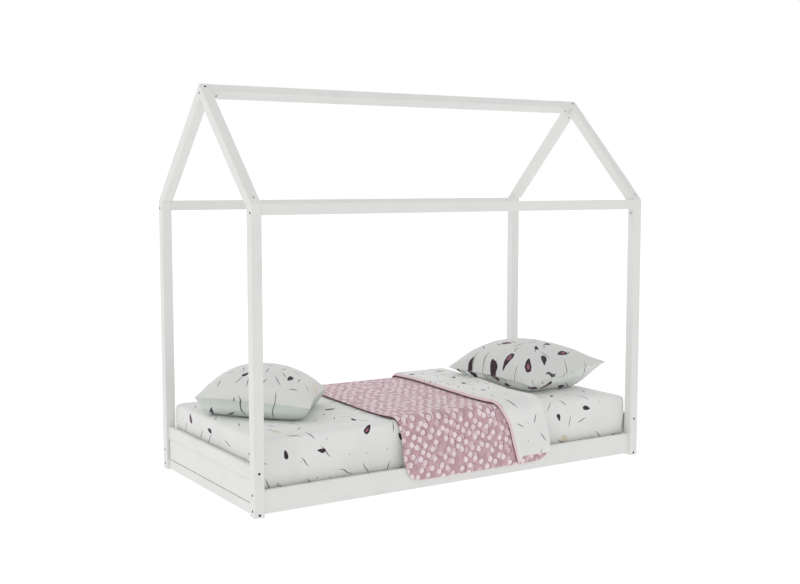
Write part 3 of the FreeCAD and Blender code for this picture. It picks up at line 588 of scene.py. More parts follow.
@dataclass(frozen=True)
class Print:
    """Printed cotton: plum petals, some with a pink heart, brush strokes, sand-coloured pebbles and specks.

    A pitch is the usual distance between motifs of a kind, and a gap the share of places that stay bare. A
    motif's bend is how much it curves to the metre, and its slimness and taper are shares of its length.
    """

    name: str
    ground: Colour
    petal_pitch: float
    petal_length: float
    petal_share: float
    stroke_pitch: float
    stroke_length: float
    shade: Colour = tint(227, 228, 226)
    edging: Optional[Colour] = None
    plum: Colour = tint(52, 32, 44)
    ink: Colour = tint(44, 42, 46)
    heart: Colour = tint(150, 92, 112)
    sand: Colour = tint(222, 213, 184)
    loose: float = 0.6
    wobble_scale: float = 70.0
    shade_scale: float = 4.0
    petal_shift: Triple = (5.9, 13.3, 0.0)
    petal_bend: float = 12.0
    petal_slim: float = 0.46
    petal_taper: float = 0.42
    petal_wobble: float = 0.35
    heart_offset: float = 0.25
    heart_edge: float = 0.46
    heart_core: float = 0.36
    heart_wobble: float = 0.3
    heart_gap: float = 0.55
    stroke_shift: Triple = (11.3, 2.9, 0.0)
    stroke_bend: float = 22.0
    stroke_width: float = 0.0026
    stroke_edge: float = 0.0008
    stroke_gap: float = 0.3
    stroke_ink: float = 0.92
    pebble_shift: Triple = (3.1, 7.7, 0.0)
    pebble_pitch: float = 0.36
    pebble_radius: float = 0.016
    pebble_flatness: float = 0.6
    pebble_wobble: float = 0.7
    pebble_gap: float = 0.4
    pebble_ink: float = 0.8
    speck_shift: Triple = (17.1, 5.3, 0.0)
    speck_pitch: float = 0.085
    speck_radius: float = 0.0035
    speck_flatness: float = 2.2
    speck_gap: float = 0.68
    speck_ink: float = 0.85
    thread: float = 0.0009
    slub_draw: float = 0.12
    slub_scale: float = 900.0
    roughness: float = 0.78
    relief: float = 0.00018
    sheen: float = 0.12
    sheen_roughness: float = 0.5

    def colour(self, graph: Graph, place: Value) -> Wire:
        """Print the motifs over the ground, one kind after another.

        Args:
            graph: The material's graph.
            place: The place on the cloth, in metres.

        Returns:
            The colour of the cloth with its motifs.
        """
        wobble = graph.cloud(place, self.wobble_scale, 1.0, plane=True) - 0.5
        uneven = graph.cloud(place, self.shade_scale, 2.0, plane=True).ramp(0.35, 0.75)
        colour = graph.blend(uneven, self.ground, self.shade)
        colour = self.pebbles(graph, place, wobble, colour)
        colour = self.strokes(graph, place, wobble, colour)
        colour = self.petals(graph, place, wobble, colour)
        return self.specks(graph, place, colour)

    def pebbles(self, graph: Graph, place: Value, wobble: Wire, colour: Wire) -> Wire:
        """Print large round pebbles in the sand colour.

        Args:
            graph: The material's graph.
            place: The place on the cloth, in metres.
            wobble: What makes outlines uneven, from -0.5 to 0.5.
            colour: The cloth so far.

        Returns:
            The cloth with its pebbles.
        """
        spot = graph.strewn(place, self.pebble_pitch, self.pebble_shift, self.loose)
        away = (spot.x * spot.x * self.pebble_flatness + spot.y * spot.y).root()
        reach = away / self.pebble_radius + wobble * self.pebble_wobble
        shown = reach.ramp(1.12, 0.9) * (spot.two > self.pebble_gap)
        return graph.blend(shown * self.pebble_ink, colour, self.sand)

    def strokes(self, graph: Graph, place: Value, wobble: Wire, colour: Wire) -> Wire:
        """Print thin curved brush strokes in ink.

        Args:
            graph: The material's graph.
            place: The place on the cloth, in metres.
            wobble: What makes outlines uneven, from -0.5 to 0.5.
            colour: The cloth so far.

        Returns:
            The cloth with its strokes.
        """
        spot = graph.strewn(place, self.stroke_pitch, self.stroke_shift, self.loose)
        length = self.stroke_length * (spot.two * 0.6 + 0.6)
        bent = spot.y + spot.x * abs(spot.x) * ((spot.three - 0.5) * self.stroke_bend)
        along = spot.x / length
        width = (1.0 - along * along) * self.stroke_width + wobble * (self.stroke_width * 0.5)
        shown = (width - abs(bent)).ramp(0.0, self.stroke_edge) * (spot.two > self.stroke_gap)
        within = 1.0 - (abs(along) > 1.0)
        return graph.blend(shown * within * self.stroke_ink, colour, self.ink)

    def petals(self, graph: Graph, place: Value, wobble: Wire, colour: Wire) -> Wire:
        """Print bent petals in plum, some with a pink heart.

        Args:
            graph: The material's graph.
            place: The place on the cloth, in metres.
            wobble: What makes outlines uneven, from -0.5 to 0.5.
            colour: The cloth so far.

        Returns:
            The cloth with its petals.
        """
        spot = graph.strewn(place, self.petal_pitch, self.petal_shift, self.loose)
        length = self.petal_length * (spot.two * 0.5 + 0.6)
        along = spot.x / length
        bent = spot.y + spot.x * spot.x * ((spot.three - 0.5) * self.petal_bend)
        across = bent / (length * self.petal_slim) / (1.0 - along * self.petal_taper)
        reach = (along * along + across * across).root() + wobble * self.petal_wobble
        shown = spot.three > (1 - self.petal_share)
        colour = graph.blend(reach.ramp(1.04, 0.96) * shown, colour, self.plum)
        from_heart = (along + self.heart_offset) * (along + self.heart_offset) + across * across
        inner = from_heart.root() + wobble * self.heart_wobble
        heart = inner.ramp(self.heart_edge, self.heart_core) * shown * (spot.two > self.heart_gap)
        return graph.blend(heart, colour, self.heart)

    def specks(self, graph: Graph, place: Value, colour: Wire) -> Wire:
        """Print small specks in ink.

        Args:
            graph: The material's graph.
            place: The place on the cloth, in metres.
            colour: The cloth so far.

        Returns:
            The cloth with its specks.
        """
        spot = graph.strewn(place, self.speck_pitch, self.speck_shift)
        reach = (spot.x * spot.x + spot.y * spot.y * self.speck_flatness).root()
        shown = reach.ramp(self.speck_radius, self.speck_radius * 0.7) * (spot.two > self.speck_gap)
        return graph.blend(shown * self.speck_ink, colour, self.ink)

    def material(self) -> bpy.types.Material:
        """Make the finish.

        Returns:
            The material.
        """
        graph = Graph(self.name)
        place = cloth_place(graph)
        colour = self.colour(graph, place)
        if self.edging is not None:
            edge = graph.add("ShaderNodeAttribute", {"attribute_name": "edging"}, output="Fac")
            colour = graph.blend(edge, colour, self.edging)
        drawn = graph.vector("MULTIPLY", place, (1.0, self.slub_draw, 1.0))
        slubs = graph.cloud(drawn, self.slub_scale, 2.0, plane=True)
        height = weave(graph, place, self.thread) * 0.5 + slubs * 0.5
        sheen = {"Sheen_Weight": self.sheen, "Sheen_Roughness": self.sheen_roughness}
        return graph.finish(colour, self.roughness + slubs * 0.12, height, self.relief, **sheen)


class SpotLayer(NamedTuple):
    """One layer of the plush's spots, with where a spot's pile and its painted shadow fade as shares of its
    size.
    """

    pitch: float
    shift: Triple
    loose: float
    gap: float
    pile_fades: float
    shadow_ends: float


@dataclass(frozen=True)
class SpottedPlush:
    """Dusty pink plush with raised pale spots, each with a painted shadow along one side."""

    ground: Colour = tint(205, 170, 179)
    deep: Colour = tint(190, 154, 163)
    pale: Colour = tint(241, 224, 229)
    faint: Colour = tint(222, 196, 203)
    # painted shadow: the dark colour laid beside each raised spot
    shadow: Colour = tint(146, 106, 119)
    faint_spots: SpotLayer = SpotLayer(0.037 * 1.05, (4.7, 9.1, 0.0), 0.8, 0.25, 0.85, 1.1)
    bright_spots: SpotLayer = SpotLayer(0.037, (0.0, 0.0, 0.0), 0.42, 0.12, 0.86, 1.08)
    width: float = 0.0127
    length: float = 0.0138
    lean: Tuple[float, float] = (0.0030, 0.0030 * 0.6)
    slant: float = 0.6
    wobble: float = 0.45
    wobble_scale: float = 90.0
    patch_scale: float = 26.0
    pile_scale: float = 700.0
    roughness: float = 0.82
    relief: float = 0.0011
    sheen: float = 0.3
    sheen_roughness: float = 0.45

    def material(self) -> bpy.types.Material:
        """Make the finish.

        Returns:
            The material.
        """
        graph = Graph("spotted_plush")
        place = cloth_place(graph)
        wobble = graph.cloud(place, self.wobble_scale, 1.0, plane=True) - 0.5
        patches = graph.cloud(place, self.patch_scale, 3.0, plane=True).ramp(0.35, 0.65)
        colour = graph.blend(patches, self.ground, self.deep)
        sockets = {"Vector": place, "Angle": self.slant}
        rows = graph.add("ShaderNodeVectorRotate", {"rotation_type": "Z_AXIS"}, sockets)

        _, soft, shaded = self.spots(graph, rows, wobble, self.faint_spots)
        # painted shadow beside the faint spots, then the spots themselves
        colour = graph.blend(shaded * 0.75, colour, self.shadow)
        colour = graph.blend(soft * 0.75, colour, self.faint)

        spot, bright, shaded = self.spots(graph, rows, wobble, self.bright_spots)
        # painted shadow beside the bright spots, then the spots themselves
        colour = graph.blend(shaded * 0.6, colour, self.shadow)
        colour = graph.blend(bright * (0.7 + spot.three * 0.3), colour, self.pale)

        pile = graph.cloud(place, self.pile_scale, 3.0, plane=True)
        raised = bright * 0.8 + soft * 0.4 - shaded * 0.25 + pile * 0.16
        sheen = {"Sheen_Weight": self.sheen, "Sheen_Roughness": self.sheen_roughness}
        return graph.finish(colour, self.roughness + pile * 0.12, raised, self.relief, **sheen)

    def spots(self, graph: Graph, rows: Wire, wobble: Wire, layer: SpotLayer) -> Tuple[Spot, Wire, Wire]:
        """Strew one layer of spots.

        Args:
            graph: The material's graph.
            rows: The place on the cloth, turned to the slant of the rows.
            wobble: What makes outlines uneven, from -0.5 to 0.5.
            layer: The layer's measures.

        Returns:
            The place within a spot, how much of its pile is here, and how much of its painted shadow.
        """
        spot = graph.strewn(rows, layer.pitch, layer.shift, layer.loose, turned=False)
        reach = self.reach(spot.x, spot.y, wobble)
        shifted = self.reach(spot.x - self.lean[0], spot.y - self.lean[1], wobble)
        pile = reach.ramp(1.0, layer.pile_fades) * (spot.two > layer.gap)
        beside = shifted.ramp(layer.shadow_ends, 0.98) * (1.0 - reach.ramp(1.0, 0.9))
        return spot, pile, beside * (spot.two > layer.gap)

    def reach(self, x: Wire, y: Wire, wobble: Wire) -> Wire:
        """How far a point is from a spot's middle, where 1 is its edge.

        Args:
            x: Distance from the middle across the cloth, in metres.
            y: Distance from the middle along the cloth, in metres.
            wobble: What makes the edge uneven.

        Returns:
            The share of the spot's own size.
        """
        across = x / self.width
        along = y / self.length
        return (across * across + along * along).root() + wobble * self.wobble


@dataclass(frozen=True)
class BindingAndShadow:
    """Dark plum bias tape with its stitches, partly the quilt's real edging and partly a painted shadow under
    its edge.
    """

    cloth: Colour = tint(84, 48, 60)
    stitch: Colour = tint(120, 80, 92)
    stitch_pitch: float = 0.007
    slub_scale: float = 800.0
    roughness: float = 0.75
    relief: float = 0.0003
    sheen: float = 0.1

    def material(self) -> bpy.types.Material:
        """Make the finish.

        Returns:
            The material.
        """
        graph = Graph("plum_binding_and_shadow")
        place = cloth_place(graph)
        _, along, _ = graph.parts(place)
        stitches = waves_along(along, self.stitch_pitch).ramp(0.3, 0.8)
        slubs = graph.cloud(place, self.slub_scale, 2.0, plane=True)
        colour = graph.blend(stitches * 0.35 + slubs * 0.2, self.cloth, self.stitch)
        roughness = self.roughness + slubs * 0.1
        height = stitches * 0.6 + slubs * 0.4
        return graph.finish(colour, roughness, height, self.relief, Sheen_Weight=self.sheen)


@dataclass(frozen=True)
class Ticking:
    """Plain mattress ticking with a woven stripe."""

    cloth: Colour = tint(222, 221, 216)
    stripe: Colour = tint(186, 194, 200)
    pitch: float = 0.03
    thread: float = 0.0012
    roughness: float = 0.8
    relief: float = 0.0002

    def material(self) -> bpy.types.Material:
        """Make the finish.

        Returns:
            The material.
        """
        graph = Graph("ticking")
        place = cloth_place(graph)
        _, along, _ = graph.parts(place)
        stripe = waves_along(along, self.pitch).ramp(0.86, 0.92)
        twill = weave(graph, place, self.thread)
        colour = graph.blend(stripe, self.cloth, self.stripe)
        return graph.finish(colour, self.roughness + twill * 0.08, twill, self.relief)


# ---------------------------------------------------------------- mesh helpers


def deselect() -> None:
    """Leave nothing selected."""
    bpy.ops.object.select_all(action="DESELECT")


def active(piece: bpy.types.Object) -> None:
    """Select one piece alone and make it active.

    Args:
        piece: The piece.
    """
    deselect()
    piece.select_set(True)
    bpy.context.view_layer.objects.active = piece


def read(collection: bpy.types.bpy_prop_collection, name: str, kind: type, width: int = 1) -> np.ndarray:
    """Read one property of all items of a mesh's collection.

    Args:
        collection: Its vertices, edges, faces or face corners, or an attribute's values.
        name: The property.
        kind: The kind of number.
        width: How many numbers each item has.

    Returns:
        One value to an item, or one row where an item has several.
    """
    found = np.empty(len(collection) * width, dtype=kind)
    collection.foreach_get(name, found)
    return found.reshape(-1, width) if width > 1 else found


def points_of(piece: bpy.types.Object) -> np.ndarray:
    """The corners of a piece's mesh, one to a row."""
    return read(piece.data.vertices, "co", float, 3)


def set_points(piece: bpy.types.Object, points: np.ndarray) -> None:
    """Move the corners of a piece's mesh to new places."""
    piece.data.vertices.foreach_set("co", np.ascontiguousarray(points, dtype=np.float32).ravel())
    piece.data.update()


def apply_modifiers(piece: bpy.types.Object) -> None:
    """Apply all of a piece's modifiers, first to last.

    Args:
        piece: The piece.
    """
    active(piece)
    for modifier in list(piece.modifiers):
        bpy.ops.object.modifier_apply(modifier=modifier.name)


def subdivide_smoothly(piece: bpy.types.Object) -> None:
    """Divide a piece once as a smooth surface.

    Args:
        piece: The piece.
    """
    smooth = piece.modifiers.new("smooth", "SUBSURF")
    smooth.levels = smooth.render_levels = 1
    apply_modifiers(piece)


def corner_uvs(piece: bpy.types.Object, uvs: np.ndarray) -> None:
    """Give a piece its cloth coordinates, one row to each corner of each face.

    Args:
        piece: The piece.
        uvs: The coordinates in metres.
    """
    layers = piece.data.uv_layers
    layer = layers.get(CLOTH_MAP) or layers.new(name=CLOTH_MAP)
    layer.data.foreach_set("uv", np.ascontiguousarray(uvs, dtype=np.float32).ravel())
    for other in [found.name for found in layers if found.name != CLOTH_MAP]:
        layers.remove(layers[other])


def loop_vertices(piece: bpy.types.Object) -> np.ndarray:
    """The number of the vertex at each corner of each face."""
    return read(piece.data.loops, "vertex_index", np.int32)


def store(piece: bpy.types.Object, name: str, domain: str, values: np.ndarray) -> None:
    """Store one number at each vertex, edge or face under a name.

    Args:
        piece: The piece.
        name: The attribute's name.
        domain: POINT, EDGE or FACE.
        values: The numbers.
    """
    layer = piece.data.attributes.new(name, "FLOAT", domain)
    layer.data.foreach_set("value", np.ascontiguousarray(values, dtype=np.float32))


def stored(piece: bpy.types.Object, name: str) -> np.ndarray:
    """The numbers stored under a name."""
    return read(piece.data.attributes[name].data, "value", np.float32)


def ease(values: np.ndarray, low: float, high: float) -> np.ndarray:
    """Ease values from 0 at low to 1 at high, where low may be the greater.

    Args:
        values: What is eased.
        low: The value that gives 0.
        high: The value that gives 1.

    Returns:
        Shares from 0 to 1.
    """
    share = np.clip((values - low) / (high - low), 0, 1)
    return share * share * (3 - 2 * share)


def directions(vectors: np.ndarray) -> np.ndarray:
    """Vectors of length 1 that point the same way, where those of no length stay so."""
    return vectors / np.maximum(np.linalg.norm(vectors, axis=1, keepdims=True), TINY)


def lumps(points: np.ndarray, size: float, seed: float) -> np.ndarray:
    """Smooth lumps from about -1 to 1.

    Args:
        points: The places where they are read.
        size: The size of a lump, in metres.
        seed: Which pattern of lumps it is.

    Returns:
        The height at each point.
    """
    shift = Vector((seed, seed * 1.7, seed * 0.3))
    return np.array([noise.noise(Vector(point) / size + shift) for point in points])


def dress(piece: bpy.types.Object, finishes: Sequence[bpy.types.Material]) -> None:
    """Replace a piece's materials, and keep which face has which.

    Args:
        piece: The piece.
        finishes: Its new materials, in the order in which its faces number them.
    """
    which = read(piece.data.polygons, "material_index", np.int32)
    piece.data.materials.clear()
    for finish in finishes:
        piece.data.materials.append(finish)
    if len(finishes) > 1:
        piece.data.polygons.foreach_set("material_index", which)


def blow(piece: bpy.types.Object, pressure: float, spare: float, cap: float, free: np.ndarray) -> None:
    """Fill a closed cover with air as cloth does it, then hold each point near where it was.

    Args:
        piece: The cover.
        pressure: The pressure of the filling.
        spare: How much cloth there is to spare, as a share of its length.
        cap: The farthest that a point may move, in metres.
        free: How much of its movement each point keeps, from 0 to 1.
    """
    before = points_of(piece)
    active(piece)
    cloth = piece.modifiers.new("cloth", "CLOTH")
    settings = cloth.settings
    settings.quality = 6
    settings.mass = 0.15
    settings.use_pressure = True
    settings.uniform_pressure_force = pressure
    settings.shrink_min = -spare
    settings.tension_stiffness = 25
    settings.compression_stiffness = 25
    settings.shear_stiffness = 12
    settings.bending_stiffness = 0.6
    settings.air_damping = 4
    settings.effector_weights.gravity = 0
    cloth.collision_settings.use_collision = False
    cloth.point_cache.frame_start = 1
    cloth.point_cache.frame_end = SIM_FRAMES
    for step in range(1, SIM_FRAMES + 1):
        bpy.context.scene.frame_set(step)
    bpy.ops.object.modifier_apply(modifier=cloth.name)
    moved = points_of(piece) - before
    far = np.linalg.norm(moved, axis=1, keepdims=True)
    set_points(piece, before + moved * np.minimum(1, cap / np.maximum(far, TINY)) * free[:, None])
    bpy.context.scene.frame_set(1)


# ---------------------------------------------------------------- the bed's own pieces


@dataclass
class HouseFrame:
    """The painted timber: posts, eaves, rafters, ridge, side rails, cleats and end panels."""

    upright: Tuple[str, ...] = ("post_",)
    lengthwise: Tuple[str, ...] = ("eave_rail_", "ridge_beam", "side_rail_", "slat_cleat_")
    crosswise: Tuple[str, ...] = ("end_top_rail_", "end_infill_", "end_bottom_rail_")
    front_slope: Tuple[str, ...] = ("rafter_front_",)
    rear_slope: Tuple[str, ...] = ("rafter_rear_",)
    hardware: Tuple[str, ...] = ("bolts", "nuts")

    def dress(self) -> int:
        """Paint each timber, its brush strokes along its grain.

        Returns:
            How many timbers were painted.
        """
        ways = {
            Grain.UPRIGHT: self.upright,
            Grain.LENGTHWISE: self.lengthwise,
            Grain.CROSSWISE: self.crosswise,
            Grain.FRONT_SLOPE: self.front_slope,
            Grain.REAR_SLOPE: self.rear_slope,
        }
        count = 0
        for grain, starts in ways.items():
            finish = PaintedPine(grain).material()
            for name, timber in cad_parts.items():
                if name.startswith(starts) and not name.endswith(self.hardware):
                    dress(timber, [finish])
                    count += 1
        return count


@dataclass
class SlatBase:
    """The bare slats that carry the mattress."""

    slats: int = 13

    def dress(self) -> int:
        """Finish the slats, their grain across the bed.

        Returns:
            How many slats were finished.
        """
        finish = BarePine(Grain.CROSSWISE).material()
        for number in range(1, self.slats + 1):
            dress(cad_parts[f"slat_{number:02d}"], [finish])
        return self.slats


@dataclass
class Fastenings:
    """The bolts, barrel nuts, screws and dowels that hold the timber together."""

    black: Metal = Metal("black_oxide", tint(14, 14, 15), tint(44, 44, 46), 0.15, 0.5)
    dark_zinc: Metal = Metal("dark_zinc", tint(46, 46, 49), tint(74, 74, 77), 0.7, 0.42)
    zinc: Metal = Metal("zinc", tint(198, 202, 208), tint(160, 162, 166), 1.0, 0.26)

    def dress(self) -> int:
        """Finish each group of fastenings by its kind.

        Returns:
            How many groups were finished.
        """
        kinds = {
            "_bolts": self.black.material(),
            "_barrel_nuts": self.dark_zinc.material(),
            "_screws": self.zinc.material(),
            "_dowels": Beech().material(),
        }
        count = 0
        for name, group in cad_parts.items():
            for ending, finish in kinds.items():
                if name.endswith(ending):
                    dress(group, [finish])
                    count += 1
        return count


class Block(NamedTuple):
    """The mattress before its edges are rounded.

    It holds the points in the bed's frame and about the block's middle, half the block's length, width and
    height, how far each point is from the nearest side, and its height from -1 at the foot to 1 at the top.
    """

    flat: np.ndarray
    local: np.ndarray
    half: np.ndarray
    inset: np.ndarray
    rise: np.ndarray


@dataclass
class Mattress:
    """A foam mattress in a printed fitted sheet, tucked under it all round.

    A reach is how far from an edge or a corner something is felt, and a fold's turns count its waves round a
    corner or to the metre.
    """

    cuts: Tuple[int, int, int] = (150, 70, 21)
    edge_round: float = 0.017
    foot_round: float = 0.006
    corner_round: float = 0.008
    belly: float = 0.003
    crown: float = 0.005
    crown_reach: float = 0.16
    right_fall: float = 0.020
    right_reach: float = 0.14
    tuck: float = 0.07
    ticking_shift: float = 3.0
    wrinkle: float = 0.0016
    wrinkle_limit: float = 0.002
    pucker_turns: float = 22.0
    pucker_spread: float = 30.0
    pucker_reach: Tuple[float, float] = (0.26, 0.03)
    pucker_origin: float = 0.02
    ripple_size: float = 0.085
    ripple_flatness: float = 2.2
    fold_turns: float = 95.0
    fold_lean: float = 30.0
    fold_share: float = 0.6
    fold_reach: Tuple[float, float] = (0.2, 0.02)
    side_reach: float = 0.04

    def build(self) -> bpy.types.Object:
        """Model the mattress.

        Returns:
            The finished piece.
        """
        low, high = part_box("mattress")
        deselect()
        bpy.ops.mesh.primitive_cube_add(size=1, location=(low + high) / 2)
        piece = bpy.context.object
        piece.name = "mattress_cover"
        piece.scale = high - low
        bpy.ops.object.transform_apply(location=True, rotation=False, scale=True)
        self.cut(piece)
        flat = points_of(piece)
        self.unfold(piece, flat, high)
        self.soften(piece, flat, np.array(low), np.array(high))
        active(piece)
        bpy.ops.object.shade_smooth()
        return piece

    def cut(self, piece: bpy.types.Object) -> None:
        """Divide the edges that run along each axis in turn.

        Args:
            piece: The plain block.
        """
        for axis, count in enumerate(self.cuts):
            points = points_of(piece)
            ends = points[read(piece.data.edges, "vertices", np.int32, 2)]
            along = np.abs(ends[:, 0] - ends[:, 1]).argmax(axis=1) == axis
            piece.data.vertices.foreach_set("select", np.zeros(len(points), dtype=bool))
            piece.data.polygons.foreach_set("select", np.zeros(len(piece.data.polygons), dtype=bool))
            piece.data.edges.foreach_set("select", along)
            active(piece)
            bpy.context.tool_settings.mesh_select_mode = (False, True, False)
            bpy.ops.object.mode_set(mode="EDIT")
            bpy.ops.mesh.subdivide(number_cuts=count)
            bpy.ops.object.mode_set(mode="OBJECT")

    def unfold(self, piece: bpy.types.Object, flat: np.ndarray, high: Vector) -> None:
        """Lay the sheet's print over the top and down the sides without a break, and mark what is ticking.

        Args:
            piece: The divided block.
            flat: Its points before rounding.
            high: Its highest corner.
        """
        normals = read(piece.data.polygons, "normal", float, 3)
        centres = read(piece.data.polygons, "center", float, 3)
        below = normals[:, 2] < -0.5
        of_loop = np.repeat(np.arange(len(normals)), 4)
        spots = flat[loop_vertices(piece)]
        drop = np.where(below[of_loop], 0, high.z - spots[:, 2])
        uvs = spots[:, :2] + normals[of_loop, :2] * drop[:, None]
        uvs[below[of_loop]] += (0.0, self.ticking_shift)
        corner_uvs(piece, uvs)
        inside = (high.x - np.abs(centres[:, 0]) > self.tuck) & (high.y - np.abs(centres[:, 1]) > self.tuck)
        piece.data.polygons.foreach_set("material_index", (below & inside).astype(np.int32))

    def soften(self, piece: bpy.types.Object, flat: np.ndarray, low: np.ndarray, high: np.ndarray) -> None:
        """Round the block, crown its top, belly its sides and pucker the sheet at its corners.

        Args:
            piece: The divided block.
            flat: Its points before rounding.
            low: Its lowest corner.
            high: Its highest corner.
        """
        half = (high - low) / 2
        middle = (high + low) / 2
        local = flat - middle
        inset = np.minimum(half[0] - np.abs(local[:, 0]), half[1] - np.abs(local[:, 1]))
        block = Block(flat, local, half, inset, local[:, 2] / half[2])
        points, side = self.rounded(block)
        self.fill(points, side, block)
        self.pucker(points, side, block)
        set_points(piece, points + middle)

    def rounded(self, block: Block) -> Tuple[np.ndarray, np.ndarray]:
        """Round the block's upright corners and its upper and lower edges.

        Args:
            block: The mattress before its edges are rounded.

        Returns:
            The points about its middle, and the level direction that faces outwards at each.
        """
        upright = block.half[:2] - self.corner_round
        core = np.clip(block.local[:, :2], -upright, upright)
        away = block.local[:, :2] - core
        reach = np.abs(away).max(axis=1)
        away = away * (reach / np.maximum(np.linalg.norm(away, axis=1), TINY))[:, None]
        height = block.local[:, 2]
        turn = np.where(height > 0, self.edge_round, self.foot_round)
        tall = np.clip(height, turn - block.half[2], block.half[2] - turn)
        over = height - tall
        out = np.clip(turn - block.inset, 0, turn)
        bend = np.maximum(np.abs(over), out)
        diagonal = np.maximum(np.hypot(over, out), TINY)
        drawn = out - out * bend / diagonal
        plan = core + away
        side = np.where(reach[:, None] > 0, away / np.maximum(reach, TINY)[:, None], directions(plan))
        return np.column_stack([plan - side * drawn[:, None], tall + over * bend / diagonal]), side

    def fill(self, points: np.ndarray, side: np.ndarray, block: Block) -> None:
        """Belly the sides, crown the top and let the right end fall a little.

        Args:
            points: The rounded points, which are moved.
            side: The level direction that faces outwards at each.
            block: The mattress before its edges are rounded.
        """
        belly = self.belly * (1 - block.rise**2) * ease(block.inset, self.edge_round, 0)
        points[:, :2] += side * belly[:, None]
        points[:, 2] -= self.crown * ease(block.inset, self.crown_reach, 0.0) * ease(block.rise, 0.5, 1)
        fall = self.right_fall * ease(block.half[0] - block.local[:, 0], self.right_reach, 0.0)
        points[:, 2] -= fall * (block.rise + 1) / 2

    def pucker(self, points: np.ndarray, side: np.ndarray, block: Block) -> None:
        """Draw the sheet into small folds at its corners and a faint ripple along its sides.

        Args:
            points: The filled points, which are moved.
            side: The level direction that faces outwards at each.
            block: The mattress before its edges are rounded.
        """
        corner = block.half[:2] - np.abs(points[:, :2])
        near = np.linalg.norm(corner, axis=1)
        way = np.arctan2(corner[:, 1] + self.pucker_origin, corner[:, 0] + self.pucker_origin)
        pucker = self.wrinkle * np.sin(way * self.pucker_turns + near * self.pucker_spread)
        points[:, 2] -= np.abs(pucker * ease(near, *self.pucker_reach) * ease(block.rise, 0.6, 0.95))
        ripple = lumps(block.flat * (1, 1, self.ripple_flatness), self.ripple_size, 4.0) * self.wrinkle
        folds = np.sin(near * self.fold_turns + block.local[:, 2] * self.fold_lean) * self.wrinkle
        swell = ripple * ease(block.rise, 0.9, 0.2) + folds * ease(near, *self.fold_reach) * self.fold_share
        limited = np.minimum(swell, self.wrinkle_limit) * ease(block.inset, self.side_reach, 0.0)
        points[:, :2] += side * limited[:, None]

    def finish(self, piece: bpy.types.Object) -> None:
        """Dress the mattress and give it its place in the frame.

        Args:
            piece: The mattress.
        """
        sheet = Print(
            "sheet_print",
            tint(233, 234, 232),
            petal_pitch=0.19,
            petal_length=0.027,
            petal_share=0.55,
            stroke_pitch=0.10,
            stroke_length=0.038,
        )
        dress(piece, [sheet.material(), Ticking().material()])
        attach(piece, "mattress")
        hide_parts("mattress")


class PillowSide(NamedTuple):
    """One side of a pillow: its belly under the seam, the way in from it, and places along and towards it."""

    belly: float
    inward: np.ndarray
    run: np.ndarray
    toward: np.ndarray


